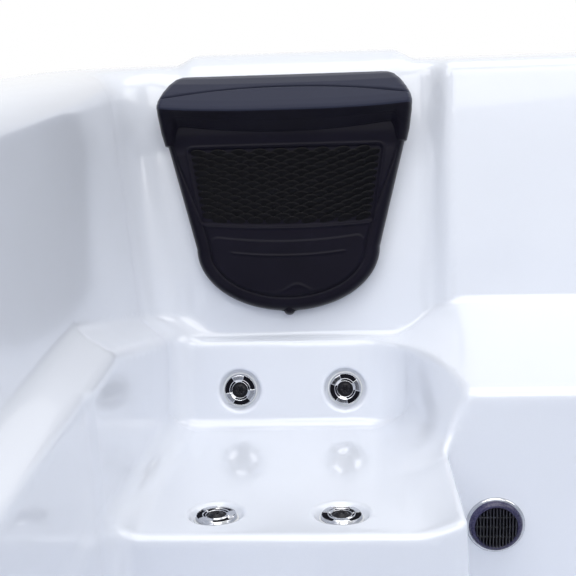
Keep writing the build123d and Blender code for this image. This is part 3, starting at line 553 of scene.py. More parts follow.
def first_quads():
    """Even quads over the right half of the bowl, from the field on a grid."""
    low = np.array([-2.0 * CELL, -TUB_HALF - 1.5 * CELL, GRID_FOOT])
    high = np.array([TUB_HALF + 1.5 * CELL, TUB_HALF + 1.5 * CELL, 940.0])
    count = np.ceil((high - low) / CELL).astype(int) + 1
    axes = [low[k] + np.arange(count[k]) * CELL for k in range(3)]
    field = np.empty(count, dtype=np.float32)
    for layer, across in enumerate(axes[0]):
        along, height = np.meshgrid(axes[1], axes[2], indexing="ij")
        field[layer] = bowl(np.full_like(along, across), along, height)
    grid = openvdb.FloatGrid(4.0 * CELL)
    grid.copyFromArray(np.clip(field, -4 * CELL, 4 * CELL))
    points, quads = grid.convertToQuads()
    return low + points * CELL, quads


def coordinates(built):
    return np.array([v.co[:] for v in built.verts], dtype=float)


def held_back(points):
    """Which coordinates stay: on the two middle planes and at the skirt's foot."""
    held = np.zeros(points.shape, dtype=bool)
    held[:, 0] = np.abs(points[:, 0]) < 0.01
    held[:, 1] = np.abs(points[:, 1]) < 0.01
    held[:, 2] = np.abs(points[:, 2] - SKIRT_FOOT) < 0.01
    return held


def write_back(built, points):
    for vertex, point in zip(built.verts, points):
        vertex.co = point


def near_jet(points, span=47, depth=24):
    """True for points in or close round a jet's dish."""
    found = np.zeros(len(points), dtype=bool)
    for reach, height in jet_planes(np.abs(points[:, 0]), points[:, 1], points[:, 2]):
        found |= (reach < span) & (np.abs(height) < depth)
    return found


def split_long_edges(built, wanted, longest):
    """Halves the edges that a test picks, where they are longer than this."""
    built.verts.index_update()
    picked = [e for e in built.edges if e.calc_length() > longest and wanted(e)]
    bmesh.ops.subdivide_edges(built, edges=picked, cuts=1, use_grid_fill=True)
    points = coordinates(built)
    write_back(built, settle(points, held_back(points)))


def refine(built):
    """More faces in the dishes, and where the bowl turns quickly."""
    for _ in range(FINE_ROUNDS):
        close = near_jet(coordinates(built))
        split_long_edges(
            built, lambda e: close[e.verts[0].index] and close[e.verts[1].index], 2.6
        )
    for _ in range(FINE_ROUNDS):
        _, gradient = slope(coordinates(built))
        way = gradient / np.maximum(np.linalg.norm(gradient, axis=1)[:, None], 1e-9)
        close = near_jet(coordinates(built))
        split_long_edges(
            built,
            lambda e: not (close[e.verts[0].index] and close[e.verts[1].index])
            and way[e.verts[0].index] @ way[e.verts[1].index] < 0.955,
            4.5,
        )


def open_jet_holes(built):
    """Takes the round hole out of each dish's floor."""
    points = coordinates(built)
    built.verts.index_update()
    planes = jet_planes(np.abs(points[:, 0]), points[:, 1], points[:, 2])
    for reach, height in planes:
        inside = (reach < HOLE_RADIUS) & (np.abs(height + 10) < 3)
        gone = [f for f in built.faces if all(inside[v.index] for v in f.verts)]
        bmesh.ops.delete(built, geom=gone, context="FACES_ONLY")
        built.verts.index_update()
    loose = [v for v in built.verts if not v.link_faces]
    bmesh.ops.delete(built, geom=loose, context="VERTS")


def cut(built, plane_point, plane_way, faces=None):
    """Cuts the mesh on a plane and keeps what lies on its far side."""
    chosen = list(built.faces) if faces is None else faces
    edges = {e for f in chosen for e in f.edges}
    verts = {v for f in chosen for v in f.verts}
    bmesh.ops.bisect_plane(
        built,
        geom=[*verts, *edges, *chosen],
        dist=1e-4,
        plane_co=plane_point,
        plane_no=plane_way,
        clear_inner=True,
    )


def bowl_quarter(points, quads, back):
    """One quarter of the bowl's visible skin, fitted to the field."""
    built = bmesh.new()
    verts = [built.verts.new(p) for p in points]
    above_grid_foot = points[quads][:, :, 2].max(axis=1) > GRID_FOOT + 10
    for quad in quads[above_grid_foot]:
        built.faces.new([verts[k] for k in quad])
    cut(built, (0, 0, 0), (1, 0, 0))
    cut(built, (0, 0, 0), (0, 1 if back else -1, 0))
    low_wall = [
        f
        for f in built.faces
        if f.calc_center_median().z < SKIRT_FOOT + 2 * CELL
        and all(max(v.co.x, abs(v.co.y)) > TUB_HALF - CORNER_RADIUS * 0.4 for v in f.verts)
    ]
    cut(built, (0, 0, SKIRT_FOOT), (0, 0, 1), low_wall)
    loose = [v for v in built.verts if not v.link_faces]
    bmesh.ops.delete(built, geom=loose, context="VERTS")
    fitted = coordinates(built)
    write_back(built, settle(fitted, held_back(fitted), 6))
    refine(built)
    open_jet_holes(built)
    bmesh.ops.triangulate(built, faces=built.faces)
    return built


def make_bowl_piece(name, built, mirrored, first):
    """Gives a quarter its hidden skin and its edges, with normals from the field."""
    built.verts.index_update()
    points = coordinates(built)
    _, gradient = slope(points, 0.8)
    way = gradient / np.maximum(np.linalg.norm(gradient, axis=1)[:, None], 1e-9)
    faces = np.array([[v.index for v in f.verts] for f in built.faces])
    a, b, c = (points[faces[:, k]] for k in range(3))
    facing = (np.cross(b - a, c - a) * way[faces[:, 0]]).sum(1)
    if np.median(facing) < 0:
        faces = faces[:, ::-1]
    edges = np.concatenate([faces[:, [0, 1]], faces[:, [1, 2]], faces[:, [2, 0]]])
    paired = {tuple(e) for e in edges}
    rim = np.array([e for e in edges if (e[1], e[0]) not in paired])
    hidden = points - SKIN * way
    held = held_back(points)
    hidden = np.where(held, points, hidden)
    count = len(points)
    strip = np.column_stack([rim[:, 1], rim[:, 0], rim[:, 0] + count, rim[:, 1] + count])
    side = -1 if mirrored else 1
    everything = np.vstack([points, hidden]) * (side, 1, 1)
    normals = np.vstack([way, -way]) * (side, 1, 1)
    triangles = np.vstack([faces, faces[:, ::-1] + count])
    if mirrored:
        triangles, strip = triangles[:, ::-1], strip[:, ::-1]
    piece = add_mesh(
        name,
        everything * MM,
        [*triangles.tolist(), *strip.tolist()],
        ["acrylic"],
        "tub",
        ["shell"] if first else [],
    )
    mesh = piece.data
    corners = np.zeros((len(mesh.loops), 3))
    corner_vertex = np.empty(len(mesh.loops), dtype=np.int32)
    mesh.loops.foreach_get("vertex_index", corner_vertex)
    corners[:] = normals[corner_vertex]
    start = 3 * len(triangles)
    edge_normals = np.empty(len(mesh.polygons) * 3)
    mesh.polygons.foreach_get("normal", edge_normals)
    edge_normals = edge_normals.reshape(-1, 3)[len(triangles):]
    corners[start:] = np.repeat(edge_normals, 4, axis=0)
    mesh.normals_split_custom_set(corners.tolist())
    return piece


def make_bowl():
    points, quads = first_quads()
    for end, back in (("back", True), ("front", False)):
        quarter = bowl_quarter(points, quads, back)
        for side, mirrored in (("left", True), ("right", False)):
            make_bowl_piece(f"shell_{end}_{side}", quarter, mirrored, back and mirrored)
        quarter.free()


make_bowl()

# Head pillows

PILLOW_X = 597
PILLOW_FOOT_Y = 795
PILLOW_BACK = 0.6
BODY_TOP = 318
BODY_KNEE = 140
BODY_FOOT = 42
BODY_TOP_HALF = 187
BODY_KNEE_HALF = 142.6
NUB_RADIUS = 9
GROOVE_INSET = 9
GROOVE_DRIFT = 14
PLATE_TOP = 151
PLATE_LINE = 129
VISOR_TOP = (
    # share of the way, up the wall, off the wall, half width
    (0.00, 407.6, 2.0, 150),
    (0.04, 408.0, 6.0, 154),
    (0.10, 406.5, 12.0, 160),
    (0.25, 401.0, 25.0, 168),
    (0.45, 389.5, 43.0, 177),
    (0.65, 375.0, 59.0, 185),
    (0.82, 360.5, 71.0, 191),
    (0.92, 352.0, 76.0, 192.5),
    (0.97, 347.5, 77.0, 192.5),
    (1.00, 344.5, 75.6, 192),
)
NOSE_RISE = 7
CREASE_SHARE = 0.53
CREASE_DROP = 0.28
SKIRT_FOOT_RISE = 11
EAR_START = 0.84
EAR_END = 0.94
EAR_FOOT = 300
FIELD_TOP = 295
FIELD_FOOT = 181
FIELD_TOP_HALF = 149
FIELD_FOOT_HALF = 131
SCALE_COLUMNS = 18
SCALE_ROWS = 10
SCALE_SPREAD = 1.85
SCALE_TURN = 0.30


def body_half(up):
    """Half the pillow's width at a height on the wall."""
    slant = BODY_KNEE_HALF + (up - BODY_KNEE) * (BODY_TOP_HALF - BODY_KNEE_HALF) / (BODY_TOP - BODY_KNEE)
    drop = np.clip((BODY_KNEE - up) / (BODY_KNEE - BODY_FOOT), 0, 1)
    bowl_end = BODY_KNEE_HALF * np.sqrt(1 - drop * drop)
    nub = np.sqrt(np.maximum(NUB_RADIUS**2 - (up - BODY_FOOT - 2) ** 2, 0))
    return np.maximum(np.where(up > BODY_KNEE, slant, bowl_end), nub)


def inside_body(across, up):
    """How far a point lies inside the pillow's outline."""
    straight = (body_half(np.maximum(up, BODY_KNEE)) - np.abs(across)) * 0.983
    a = across / BODY_KNEE_HALF
    b = (BODY_KNEE - up) / (BODY_KNEE - BODY_FOOT)
    ring = np.sqrt(a * a + b * b) + 1e-9
    steep = np.sqrt((a / BODY_KNEE_HALF) ** 2 + (b / (BODY_KNEE - BODY_FOOT)) ** 2) / ring
    curved = (1 - ring) / np.maximum(steep, 1e-6)
    nub = NUB_RADIUS - np.hypot(across, up - BODY_FOOT - 2)
    return np.maximum(np.where(up > BODY_KNEE, straight, curved), nub)


def field_half(up):
    share = (up - FIELD_FOOT) / (FIELD_TOP - FIELD_FOOT)
    return FIELD_FOOT_HALF + share * (FIELD_TOP_HALF - FIELD_FOOT_HALF)


def field_bow(across):
    """The pressed field's rows sag a little towards the middle."""
    return -7 * (1 - (across / FIELD_TOP_HALF) ** 2)


def inside_field(across, up):
    """How far a point lies inside the pressed field, negative outside it."""
    level = up - field_bow(across) * (FIELD_TOP - up) / (FIELD_TOP - FIELD_FOOT)
    side = field_half(level) - np.abs(across)
    return -corner(corner(-side, level - FIELD_TOP, 9), FIELD_FOOT - level, 5)


def swell(distance, width):
    return np.exp(-((distance / width) ** 2))


def pillow_front(across, up):
    """How far the moulded front stands off the wall."""
    edge = inside_body(across, up)
    crown = 33 + 6 * ease(up, 120, 316) + 2.2 * (1 - (across / BODY_TOP_HALF) ** 2)
    rounding = np.clip(edge / 13, 0, 1)
    crown = crown + 3.5 * ease(up, 288, 318)
    height = crown * (0.30 + 0.70 * np.sqrt(1 - (1 - rounding) ** 2))
    panel = edge - GROOVE_INSET - GROOVE_DRIFT * ease(310 - up, 0, 150)
    upper = ease(308 - up, 0, 26)
    height = height + 1.0 * ease(panel, 0, 3.5) * upper - 1.9 * swell(panel, 1.3) * upper
    field = inside_field(across, up)
    height = height - 3.0 * ease(field, 0, 2.0) + 1.4 * swell(field + 2.0, 1.1)
    plate_top = PLATE_TOP + 8 * (across / 110) ** 2
    plate = -corner(up - plate_top, 4.5 - panel, 14)
    height = height + 0.8 * ease(plate, 0, 1.4) + 0.7 * swell(plate, 1.0)
    line = up - PLATE_LINE - 6 * (across / 90) ** 2
    height = height + 1.2 * swell(line, 1.2) * ease(92 - np.abs(across), 0, 9)
    flow = up - 70 - 14 * np.exp(-(((across - 14) / 20) ** 2))
    return height + 0.7 * swell(flow, 3) * ease(edge, 20, 40) * ease(80 - np.abs(across), 0, 30)


def round_off(across, half, width, kept):
    """1 over the middle of a row, easing down to a share of it at the ends."""
    edge = np.clip((half - np.abs(across)) / width, 0, 1)
    return kept + (1 - kept) * np.sqrt(1 - (1 - edge) ** 2)


def visor_rows(turn, count):
    """The visor's top from the wall to its nose; one row runs along the arched crease."""
    table = np.array(VISOR_TOP)
    arch = CREASE_SHARE + CREASE_DROP * np.abs(turn) ** 2.2
    crease_row = int(count * 0.45)
    fade = ease(1 - np.abs(turn), 0.0, 0.06)
    rows = []
    for place in range(count):
        if place <= crease_row:
            share = arch * (place / crease_row) ** 0.75
        else:
            share = arch + (1 - arch) * ((place - crease_row) / (count - 1 - crease_row)) ** 1.25
        up, off, half = (np.interp(share, table[:, 0], table[:, k]) for k in (1, 2, 3))
        across = turn * half
        past = (share - arch) * 92
        press = 1.8 * ease(past, -0.3, 0.9) * ease(-past, -30, -3) - 7.0 * swell(past, 2.1)
        press = press * fade
        lift = NOSE_RISE * share * np.abs(turn) ** 2.6
        depth = (off + 0.75 * press) * round_off(across, half, 12, 0.55)
        rows.append(np.column_stack([across, up + lift + 0.6 * press, depth]))
    return rows


def skirt_foot(turn):
    """Height of the skirt's lower edge: bowed up to the sides, then down into the ears."""
    share = np.abs(turn)
    bowed = BODY_TOP + SKIRT_FOOT_RISE * np.minimum(share / 0.8, 1) ** 2
    return bowed + (EAR_FOOT - bowed) * ease(share, EAR_START, EAR_END)


def skirt_rows(turn, nose, count):
    """The face under the nose, leaning back to its lower edge, then the step in."""
    foot = skirt_foot(turn)
    rows = []
    for share in np.linspace(0, 1, count)[1:]:
        up = nose[:, 1] + (foot - nose[:, 1]) * share
        half = np.interp(up, (EAR_FOOT, BODY_TOP, 344.5), (185, 189, 192))
        across = turn * half
        off = 75.6 + (47.5 - 75.6) * share ** 0.92
        line = 0.7 * swell((share - 0.42) * 34, 0.9)
        depth = (off - line) * round_off(across, half, 12, 0.55)
        rows.append(np.column_stack([across, up, depth]))
    return rows


def make_pillow(name, side, end):
    """One pillow: visor, skirt, body with its groove, ridges and pressed field."""
    columns = 201
    turn = np.linspace(-1, 1, columns)
    turn = np.sin(turn * math.pi / 2) * 0.35 + turn * 0.65
    visor_count = 72
    rows = visor_rows(turn, visor_count)
    rows += skirt_rows(turn, rows[-1], 30)
    foot = skirt_foot(turn)
    step = 1.3
    low = 292.0
    for share in np.linspace(0, 1, int(36 / step)):
        up = foot - 0.6 + (low - foot) * share
        across = turn * body_half(up)
        rows.append(np.column_stack([across, up, pillow_front(across, up)]))
    last = BODY_FOOT + 2 - NUB_RADIUS
    heights = np.linspace(low, BODY_KNEE, int((low - BODY_KNEE) / step))[1:]
    towards = np.linspace(0, 1, int(150 / step)) ** 0.82
    heights = np.concatenate([heights, BODY_KNEE + towards[1:] * (last + 0.03 - BODY_KNEE)])
    for height in heights:
        up = np.full(columns, height)
        across = turn * body_half(up)
        rows.append(np.column_stack([across, up, pillow_front(across, up)]))
    built = bmesh.new()
    painted_top_light = built.verts.layers.float.new("painted_top_light")
    front = [[built.verts.new(point) for point in row] for row in rows]
    # Painted light: the visor's top rows are marked so that the foam's colour is painted lighter there, standing in for
    # light on that upward face.
    for row in front[: visor_count - 1]:
        for vert in row:
            vert[painted_top_light] = 1.0
    behind = []
    for row in rows:
        pair = []
        for column in (0, -1):
            across, up, _ = row[column]
            kept = np.sign(across) * min(abs(across) * 0.985, BODY_TOP_HALF - 3)
            pair.append(built.verts.new((kept, min(up, 407.0), PILLOW_BACK)))
        behind.append(pair)
    for place in range(len(rows) - 1):
        upper, lower = front[place], front[place + 1]
        for column in range(columns - 1):
            built.faces.new((upper[column], lower[column], lower[column + 1], upper[column + 1]))
        (a, b), (c, d) = behind[place], behind[place + 1]
        built.faces.new((a, b, d, c))
        built.faces.new((upper[0], a, c, lower[0]))
        built.faces.new((upper[-1], lower[-1], d, b))
    built.faces.new([*front[0], behind[0][1], behind[0][0]])
    built.faces.new([*front[-1][::-1], behind[-1][0], behind[-1][1]])
    for face in built.faces:
        face.smooth = len(face.verts) == 4
    bmesh.ops.remove_doubles(built, verts=built.verts, dist=0.02)
    built.transform(wall_frame(side, end) @ Matrix.Diagonal((MM, MM, MM, 1)))
    from_bmesh(built, f"{name}_moulding", ["pillow_foam"], "tub", [name])


def wall_frame(side, end):
    """The frame of a pillow: along the wall, up it, and off it."""
    up = Vector((0, end * WALL_LEAN, 1)).normalized()
    along = Vector((end, 0, 0))
    off = along.cross(up)
    origin = Vector((side * PILLOW_X, end * PILLOW_FOOT_Y, ARM_HEIGHT)) * MM
    return Matrix.Translation(origin) @ Matrix((along, up, off)).transposed().to_4x4()


def scale_shape():
    """One pressed scale: a flat pointed oval whose upper edge stands out like a shingle's."""
    outline = []
    for step in range(14):
        angle = math.tau * step / 14
        flat = 0.5 * abs(math.sin(angle)) ** 1.25
        outline.append((0.5 * math.cos(angle), math.copysign(flat, math.sin(angle))))
    mesh = bpy.data.meshes.new("scale_shape")
    built = bmesh.new()
    rings = []
    for shrink, lift, lean in ((1.0, -0.3, 0.0), (0.97, 0.40, 0.55), (0.80, 0.52, 0.50), (0.35, 0.52, 0.25)):
        ring = []
        for x, y in outline:
            rise = lift + lean * y / 0.5
            ring.append(built.verts.new((x * shrink, y * shrink, rise)))
        rings.append(ring)
    for outer, inner in zip(rings, rings[1:]):
        for step in range(len(outline)):
            after = (step + 1) % len(outline)
            built.faces.new((outer[step], outer[after], inner[after], inner[step]))
    built.faces.new(rings[-1])
    built.faces.new(rings[0][::-1])
    bmesh.ops.recalc_face_normals(built, faces=built.faces)
    for face in built.faces:
        face.smooth = True
    built.to_mesh(mesh)
    built.free()
    return bpy.data.objects.new("scale_shape", mesh)


def scale_tree():
    """Geometry nodes that set one shape on every point, at the point's own size and turn."""
    tree = bpy.data.node_groups.new("pressed_scales", "GeometryNodeTree")
    tree.interface.new_socket("Points", in_out="INPUT", socket_type="NodeSocketGeometry")
    tree.interface.new_socket("Shape", in_out="INPUT", socket_type="NodeSocketObject")
    tree.interface.new_socket("Finish", in_out="INPUT", socket_type="NodeSocketMaterial")
    tree.interface.new_socket("Scales", in_out="OUTPUT", socket_type="NodeSocketGeometry")
    entry = tree.nodes.new("NodeGroupInput")
    leave = tree.nodes.new("NodeGroupOutput")
    shape = tree.nodes.new("GeometryNodeObjectInfo")
    sizes = tree.nodes.new("GeometryNodeInputNamedAttribute")
    sizes.data_type = "FLOAT_VECTOR"
    sizes.inputs["Name"].default_value = "size"
    turns = tree.nodes.new("GeometryNodeInputNamedAttribute")
    turns.data_type = "FLOAT_VECTOR"
    turns.inputs["Name"].default_value = "turn"
    place = tree.nodes.new("GeometryNodeInstanceOnPoints")
    solid = tree.nodes.new("GeometryNodeRealizeInstances")
    paint = tree.nodes.new("GeometryNodeSetMaterial")
    link = tree.links.new
    link(entry.outputs["Shape"], shape.inputs["Object"])
    link(entry.outputs["Points"], place.inputs["Points"])
    link(shape.outputs["Geometry"], place.inputs["Instance"])
    link(turns.outputs["Attribute"], place.inputs["Rotation"])
    link(sizes.outputs["Attribute"], place.inputs["Scale"])
    link(place.outputs["Instances"], solid.inputs["Geometry"])
    link(solid.outputs["Geometry"], paint.inputs["Geometry"])
    link(entry.outputs["Finish"], paint.inputs["Material"])
    link(paint.outputs["Geometry"], leave.inputs["Scales"])
    return tree


def spread_shapes(name, tree, shape, places, sizes, turns, finish):
    """Runs the tree on a cloud of points and returns the plain mesh."""
    cloud = bpy.data.meshes.new(name)
    cloud.from_pydata([tuple(p) for p in places], [], [])
    for label, values in (("size", sizes), ("turn", turns)):
        layer = cloud.attributes.new(label, "FLOAT_VECTOR", "POINT")
        layer.data.foreach_set("vector", np.asarray(values, dtype=np.float32).ravel())
    carrier = bpy.data.objects.new(name, cloud)
    bpy.context.scene.collection.objects.link(carrier)
    modifier = carrier.modifiers.new("scales", "NODES")
    modifier.node_group = tree
    for item in tree.interface.items_tree:
        if item.name == "Shape":
            modifier[item.identifier] = shape
        if item.name == "Finish":
            modifier[item.identifier] = PAINT[finish]
    bpy.context.view_layer.update()
    graph = bpy.context.evaluated_depsgraph_get()
    result = bpy.data.meshes.new_from_object(carrier.evaluated_get(graph))
    bpy.data.objects.remove(carrier)
    result.name = name
    return result


def make_scales(name, side, end, tree, shape):
    """The pressed field: staggered rows of scales that narrow with the pillow."""
    places, sizes, turns = [], [], []
    drop = (FIELD_TOP - FIELD_FOOT - 6) / (SCALE_ROWS + 0.5)
    for column in range(SCALE_COLUMNS):
        for row in range(SCALE_ROWS):
            level = FIELD_TOP - 3 - (row + 0.5 + 0.5 * (column % 2)) * drop
            half = float(field_half(level)) - 4
            pitch = 2 * half / (SCALE_COLUMNS + 0.6)
            across = (column - (SCALE_COLUMNS - 1) / 2) * pitch
            share = (FIELD_TOP - level) / (FIELD_TOP - FIELD_FOOT)
            up = level + float(field_bow(across)) * share
            off = float(pillow_front(np.array(across), np.array(up))) - 0.5
            places.append((across * MM, up * MM, off * MM))
            sizes.append((pitch * SCALE_SPREAD * MM, drop * 1.3 * MM, 3.2 * MM))
            turns.append((0.0, 0.0, 0.08 + SCALE_TURN * across / half))
    mesh = spread_shapes(f"{name}_scales", tree, shape, places, sizes, turns, "relief_foam")
    mesh.transform(wall_frame(side, end))
    piece = bpy.data.objects.new(f"{name}_scales", mesh)
    bpy.context.scene.collection.objects.link(piece)
    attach(piece, "tub")


def make_pillows():
    tree = scale_tree()
    shape = scale_shape()
    for end_name, end in (("back", 1), ("front", -1)):
        for side_name, side in (("left", -1), ("right", 1)):
            name = f"pillow_{end_name}_{side_name}"
            make_pillow(name, side, end)
            make_scales(name, side, end, tree, shape)
    bpy.data.objects.remove(shape)


make_pillows()

# Jets

FACE_RADIUS = 25.0
HUB_RADIUS = 12.2
SLOT_INNER = 16.9
SLOT_OUTER = 23.4
SLOT_HALF_ANGLE = 34
SLIT_INNER = 13.3
SLIT_OUTER = 15.3


def arc_gap(reach, angle, inner, outer, centre, half, soft=0.4):
    """1 inside three equal arc slots spaced round the face, 0 outside them."""
    turned = (np.degrees(angle) - centre + 60) % 120 - 60
    along = (half - np.abs(turned)) * np.radians(1) * reach
    distance = np.minimum(np.minimum(reach - inner, outer - reach), along)
    return ease(distance, -soft, soft)


def polar_shape(rings, height, columns=144):
    """Points of a round plate: its rings' radii and a height for each point, with its centre."""
    angles = np.arange(columns) * 2 * math.pi / columns
    reach, angle = np.meshgrid(np.asarray(rings, dtype=float), angles, indexing="ij")
    level = height(reach, angle)
    return reach, angle, level


def round_piece(name, frame_matrix, rings, height, paint_of, finishes, body, replaced, depth):
    """A round moulding: a front that follows a height rule, a side wall and a flat back."""
    columns = 144
    reach, angle, level = polar_shape(rings, height, columns)
    count = len(rings)
    front = np.column_stack([(reach * np.cos(angle)).ravel(), (reach * np.sin(angle)).ravel(), level.ravel()])
    edge = np.arange(columns) * 2 * math.pi / columns
    outer = float(rings[-1])
    wall = np.column_stack([outer * np.cos(edge), outer * np.sin(edge), np.full(columns, -depth)])
    points = np.vstack([front, wall, [[0, 0, float(level[0].mean())]], [[0, 0, -depth]]])
    faces, which = [], []
    middle, back = count * columns + columns, count * columns + columns + 1
    for ring in range(count - 1):
        for column in range(columns):
            after = (column + 1) % columns
            a, b = ring * columns + column, ring * columns + after
            c, d = b + columns, a + columns
            faces.append((a, d, c, b))
            centre_reach = (reach[ring, column] + reach[ring + 1, column]) / 2
            centre_angle = (column + 0.5) * 2 * math.pi / columns
            which.append(paint_of(centre_reach, centre_angle))
    rim = (count - 1) * columns
    for column in range(columns):
        after = (column + 1) % columns
        faces.append((middle, column, after))
        which.append(paint_of(0.0, 0.0))
        faces.append((rim + column, count * columns + column, count * columns + after, rim + after))
        which.append(0)
        faces.append((back, count * columns + after, count * columns + column))
        which.append(0)
    placed = [frame_matrix @ Vector(p * MM) for p in points]
    return add_mesh(name, placed, faces, finishes, body, replaced, which)


def make_jet(place, origin, normal, end, clock):
    """A jet's turning chrome face and its tilting black nozzle."""
    base = standing_on(Vector(origin) * MM, normal, (end, 0, 0))

    def face_height(reach, angle):
        dome = -1.5 + 1.1 * ease(reach, 12, 17)
        fall = 4.8 * ease(reach, 22.9, 25.6)
        gap = arc_gap(reach, angle, SLOT_INNER, SLOT_OUTER, clock, SLOT_HALF_ANGLE)
        slit = arc_gap(reach, angle, SLIT_INNER, SLIT_OUTER, clock, SLOT_HALF_ANGLE + 3, 0.3)
        hub = ease(HUB_RADIUS - reach, -0.2, 0.3)
        return dome - fall - 3.6 * gap - 2.6 * slit - 1.4 * hub

    def face_paint(reach, angle):
        spot = (np.array(reach), np.array(angle))
        if reach < HUB_RADIUS:
            return 1
        # Slots and slits get the painted-shade finish for the dark holes behind them.
        if arc_gap(*spot, SLOT_INNER, SLOT_OUTER, clock, SLOT_HALF_ANGLE) > 0.5:
            return 2
        if arc_gap(*spot, SLIT_INNER, SLIT_OUTER, clock, SLOT_HALF_ANGLE + 3, 0.3) > 0.5:
            return 2
        return 0

    rings = [9.9, 10.6, 11.4, 12.0, 12.2, 12.5, 13.1, 13.35, 13.6, 14.2, 14.8, 15.05, 15.4, 16.2, 16.6]
    rings += [16.9, 17.2, 18.2, 19.6, 21.0, 22.2, 23.0, 23.4, 23.7, 24.0, 24.3, 24.6, 24.8, 25.0]
    round_piece(
        f"jet_plate_{place}",
        base,
        rings,
        face_height,
        face_paint,
        ["jet_chrome", "nozzle_black", "painted_hole_shade"],
        f"jet_face_{place}",
        [f"jet_face_{place}"],
        6.0,
    )

    def nozzle_height(reach, angle):
        dome = 0.8 - 3.4 * ease(reach, 5.6, 10.0) ** 1.5
        star = ease(5.0 - reach + 1.6 * np.cos(6 * angle), -0.6, 0.6)
        ring = swell(reach - 7.4, 0.5)
        return dome - 1.3 * star - 0.5 * ring - 4.5 * ease(2.6 - reach, -0.5, 0.5)

    round_piece(
        f"jet_eye_{place}",
        base,
        [1.4, 2.1, 2.6, 3.0, 3.6, 4.3, 5.0, 5.7, 6.4, 6.9, 7.4, 7.9, 8.5, 9.1, 9.6, 9.9],
        nozzle_height,
        # The nozzle's middle hole gets the painted-shade finish.
        lambda reach, angle: 1 if reach < 2.6 else 0,
        ["nozzle_black", "painted_hole_shade"],
        f"jet_nozzle_{place}",
        [f"jet_nozzle_{place}"],
        7.0,
    )


LUMBAR_CLOCKS = (37.5, 75.0)
SEAT_CLOCKS = (62.0, 90.0)


def make_jets():
    """Two lumbar jets in every seat, and two more in the floor of each back seat."""
    for end_name, end in (("back", 1), ("front", -1)):
        for side_name, side in (("left", -1), ("right", 1)):
            turn = 17 * (side + 1) + 9 * (1 - end)
            for count, (across, clock) in enumerate(zip(LUMBAR_JETS, LUMBAR_CLOCKS), 1):
                origin = (side * across, end * LUMBAR_JET_Y, LUMBAR_JET_Z)
                normal = (0, -end, LUMBAR_SLOPE)
                make_jet(f"{end_name}_{side_name}_{count}", origin, normal, end, clock + turn)
            if end < 0:
                continue
            for count, (across, clock) in enumerate(zip(SEAT_JETS, SEAT_CLOCKS), 3):
                origin = (side * across, SEAT_JET_Y, SEAT_JET_Z)
                make_jet(f"{end_name}_{side_name}_{count}", origin, (0, SEAT_SLOPE, 1), 1, clock + turn)


make_jets()

# Suction fittings in the back cove

SUCTION_X = 312
SUCTION_Z = 300
SUCTION_RADIUS = 40
RIB_COUNT = 13


def revolve(built, profile, columns, matrix, finish_of=None):
    """Turns a profile of (radius, height) round the axis of a plane; ends on the axis close."""
    rings = []
    for reach, level in profile:
        if reach == 0:
            rings.append([built.verts.new(matrix @ Vector((0, 0, level * MM)))])
            continue
        ring = []
        for column in range(columns):
            angle = 2 * math.pi * column / columns
            point = Vector((reach * math.cos(angle), reach * math.sin(angle), level)) * MM
            ring.append(built.verts.new(matrix @ point))
        rings.append(ring)
    for place, (inner, outer) in enumerate(zip(rings, rings[1:])):
        for column in range(columns):
            after = (column + 1) % columns
            if len(inner) == 1:
                face = built.faces.new((inner[0], outer[column], outer[after]))
            elif len(outer) == 1:
                face = built.faces.new((inner[column], outer[0], inner[after]))
            else:
                face = built.faces.new((inner[column], outer[column], outer[after], inner[after]))
            face.smooth = True
            if finish_of:
                face.material_index = finish_of[place]


def rounded_bar(built, matrix, length, width, low, high, finish, steps=10):
    """A rib whose top bows with the grille's dome."""
    section = [(-width / 2, low), (-width / 2, high - 0.6), (-width / 2 + 0.6, high), (width / 2 - 0.6, high), (width / 2, high - 0.6), (width / 2, low)]
    rings = []
    for step in range(steps + 1):
        along = -length / 2 + length * step / steps
        drop = 4.2 * (2 * along / (2 * SUCTION_RADIUS)) ** 2
        ring = [built.verts.new(matrix @ (Vector((across, along, level - (drop if level > low else 0))) * MM)) for across, level in section]
        rings.append(ring)
    for first, second in zip(rings, rings[1:]):
        for k in range(len(section)):
            after = (k + 1) % len(section)
            built.faces.new((first[k], first[after], second[after], second[k])).material_index = finish
    built.faces.new(rings[0]).material_index = finish
    built.faces.new(rings[-1][::-1]).material_index = finish


def make_suction(name, side, replaced):
    """A domed grille of upright ribs in a dark ring with a bright outer edge."""
    lean = DRAFT_LEAN
    wall_y = 560 - (ARM_HEIGHT - SUCTION_Z) * DRAFT_LEAN
    base = standing_on(Vector((side * SUCTION_X, wall_y, SUCTION_Z)) * MM, (0, -1, lean), (1, 0, 0))
    built = bmesh.new()
    profile = [(0, -8), (22, -8), (22, -1), (39.8, -1), (40.0, 0.5), (39.6, 2.6), (38.4, 3.8), (37.0, 4.2), (36.2, 3.9)]
    paint = [1, 1, 1, 2, 2, 2, 2, 2]
    profile += [(35.8, 5.0), (35.0, 7.6), (33.2, 9.6), (31.0, 10.6), (29.2, 10.5), (28.6, 9.6), (28.4, 5.0), (0, 4.4)]
    # The floor under the ribs gets the painted-shade finish (index 3) for the dark pipe behind the grille.
    paint += [0, 0, 0, 0, 0, 0, 0, 3]
    revolve(built, profile, 96, base, paint)
    pitch = 2 * 28 / RIB_COUNT
    for rib in range(RIB_COUNT):
        across = -28 + (rib + 0.5) * pitch
        length = 2 * math.sqrt(max(28.6**2 - across**2, 20))
        high = 14.5 - 3.2 * (across / 28) ** 2
        bar = base @ Matrix.Translation((across * MM, 0, 0))
        rounded_bar(built, bar, length, 2.0, 4.0, high, 1)
    for level in (-14, 0, 14):
        length = 2 * math.sqrt(28.6**2 - level**2)
        turned = base @ Matrix.Translation((0, level * MM, 0)) @ Matrix.Rotation(math.pi / 2, 4, "Z")
        rounded_bar(built, turned, length, 2.2, 4.0, 10.0, 1)
    from_bmesh(built, name, ["ring_indigo", "grille_black", "jet_chrome", "painted_hole_shade"], "tub", replaced)


